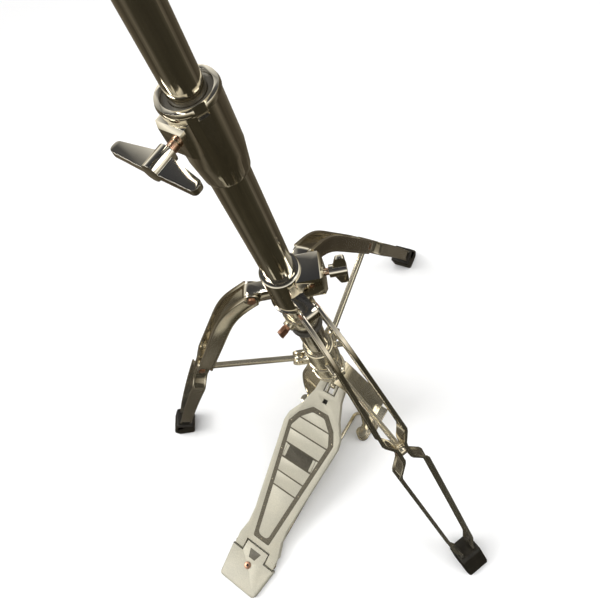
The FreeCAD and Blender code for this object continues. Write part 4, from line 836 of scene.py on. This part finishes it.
def add_floor():
    """A pale floor that fades into the white behind it; the plating sees a carpet instead."""
    mesh = bpy.data.meshes.new("floor")
    corners = rectangle(-FLOOR_HALF, FLOOR_HALF, -FLOOR_HALF, FLOOR_HALF)
    mesh.from_pydata([(x, y, CAD_BOX[0][2]) for x, y in corners], [], [(0, 1, 2, 3)])
    floor = new_object("floor", mesh)
    material = bpy.data.materials.new("floor")
    material.use_nodes = True
    nodes = Nodes(material.node_tree)
    away = nodes.add("ShaderNodeVectorMath", operation="LENGTH")
    nodes.link(nodes.object_place(), away.inputs[0])
    ground = nodes.blend(nodes.spread(away.outputs["Value"], 0.0, 1.0, FADE_FROM, FADE_TO),
                         nodes.plain("ShaderNodeBsdfDiffuse", (0.92, 0.92, 0.92)),
                         nodes.plain("ShaderNodeEmission", WHITE))
    carpet = nodes.add("ShaderNodeEmission")
    nodes.link(carpet_seen_in_chrome(nodes), carpet.inputs["Color"])
    mirrored = nodes.add("ShaderNodeLightPath").outputs["Is Glossy Ray"]
    nodes.link(nodes.blend(mirrored, ground, carpet.outputs["Emission"]),
               nodes.add("ShaderNodeOutputMaterial").inputs["Surface"])
    mesh.materials.append(material)


def add_world():
    """White behind the stand; for the plating, a room with bright walls and a dark ceiling."""
    world = bpy.data.worlds.new("studio")
    bpy.context.scene.world = world
    world.use_nodes = True
    nodes = Nodes(world.node_tree)
    direction = nodes.add("ShaderNodeTexCoord").outputs["Generated"]
    cut = nodes.add("ShaderNodeSeparateXYZ")
    nodes.link(direction, cut.inputs["Vector"])
    height = nodes.ramp(cut.outputs["Z"], [(0.0, (0.22, 0.195, 0.145)), (0.08, (0.55, 0.51, 0.42)),
                                           (0.30, (1.5, 1.46, 1.36)), (0.50, (0.75, 0.74, 0.71)),
                                           (0.70, (0.10, 0.10, 0.105)), (1.0, (0.045, 0.047, 0.054))])
    room = nodes.add("ShaderNodeBackground")
    nodes.link(height, room.inputs["Color"])
    path = nodes.add("ShaderNodeLightPath")
    soft = nodes.plain("ShaderNodeBackground", (0.30, 0.30, 0.295))
    around = nodes.blend(path.outputs["Is Glossy Ray"], soft, room.outputs["Background"])
    seen = nodes.blend(path.outputs["Is Camera Ray"], around, nodes.plain("ShaderNodeBackground", WHITE))
    nodes.link(seen, nodes.add("ShaderNodeOutputWorld").inputs["Surface"])


def add_light(name, place, aim, size, power, in_mirrors=True):
    """A round lamp that points at a place."""
    data = bpy.data.lights.new(name, "AREA")
    data.shape = "DISK"
    data.size = size
    data.energy = power
    light = new_object(name, data)
    light.location = place
    light.visible_glossy = in_mirrors
    light.rotation_euler = (Vector(aim) - Vector(place)).to_track_quat("-Z", "Y").to_euler()


add_floor()
add_world()
add_light("key", (-1.5, -1.0, 2.6), (0.0, 0.0, 0.2), 1.4, 42.0)
add_light("fill", (1.4, 0.6, 2.2), (0.0, 0.0, 0.3), 1.4, 16.0)
add_light("top", (0.0, 0.0, 3.4), (0.0, 0.0, 0.0), 3.0, 72.0, in_mirrors=False)
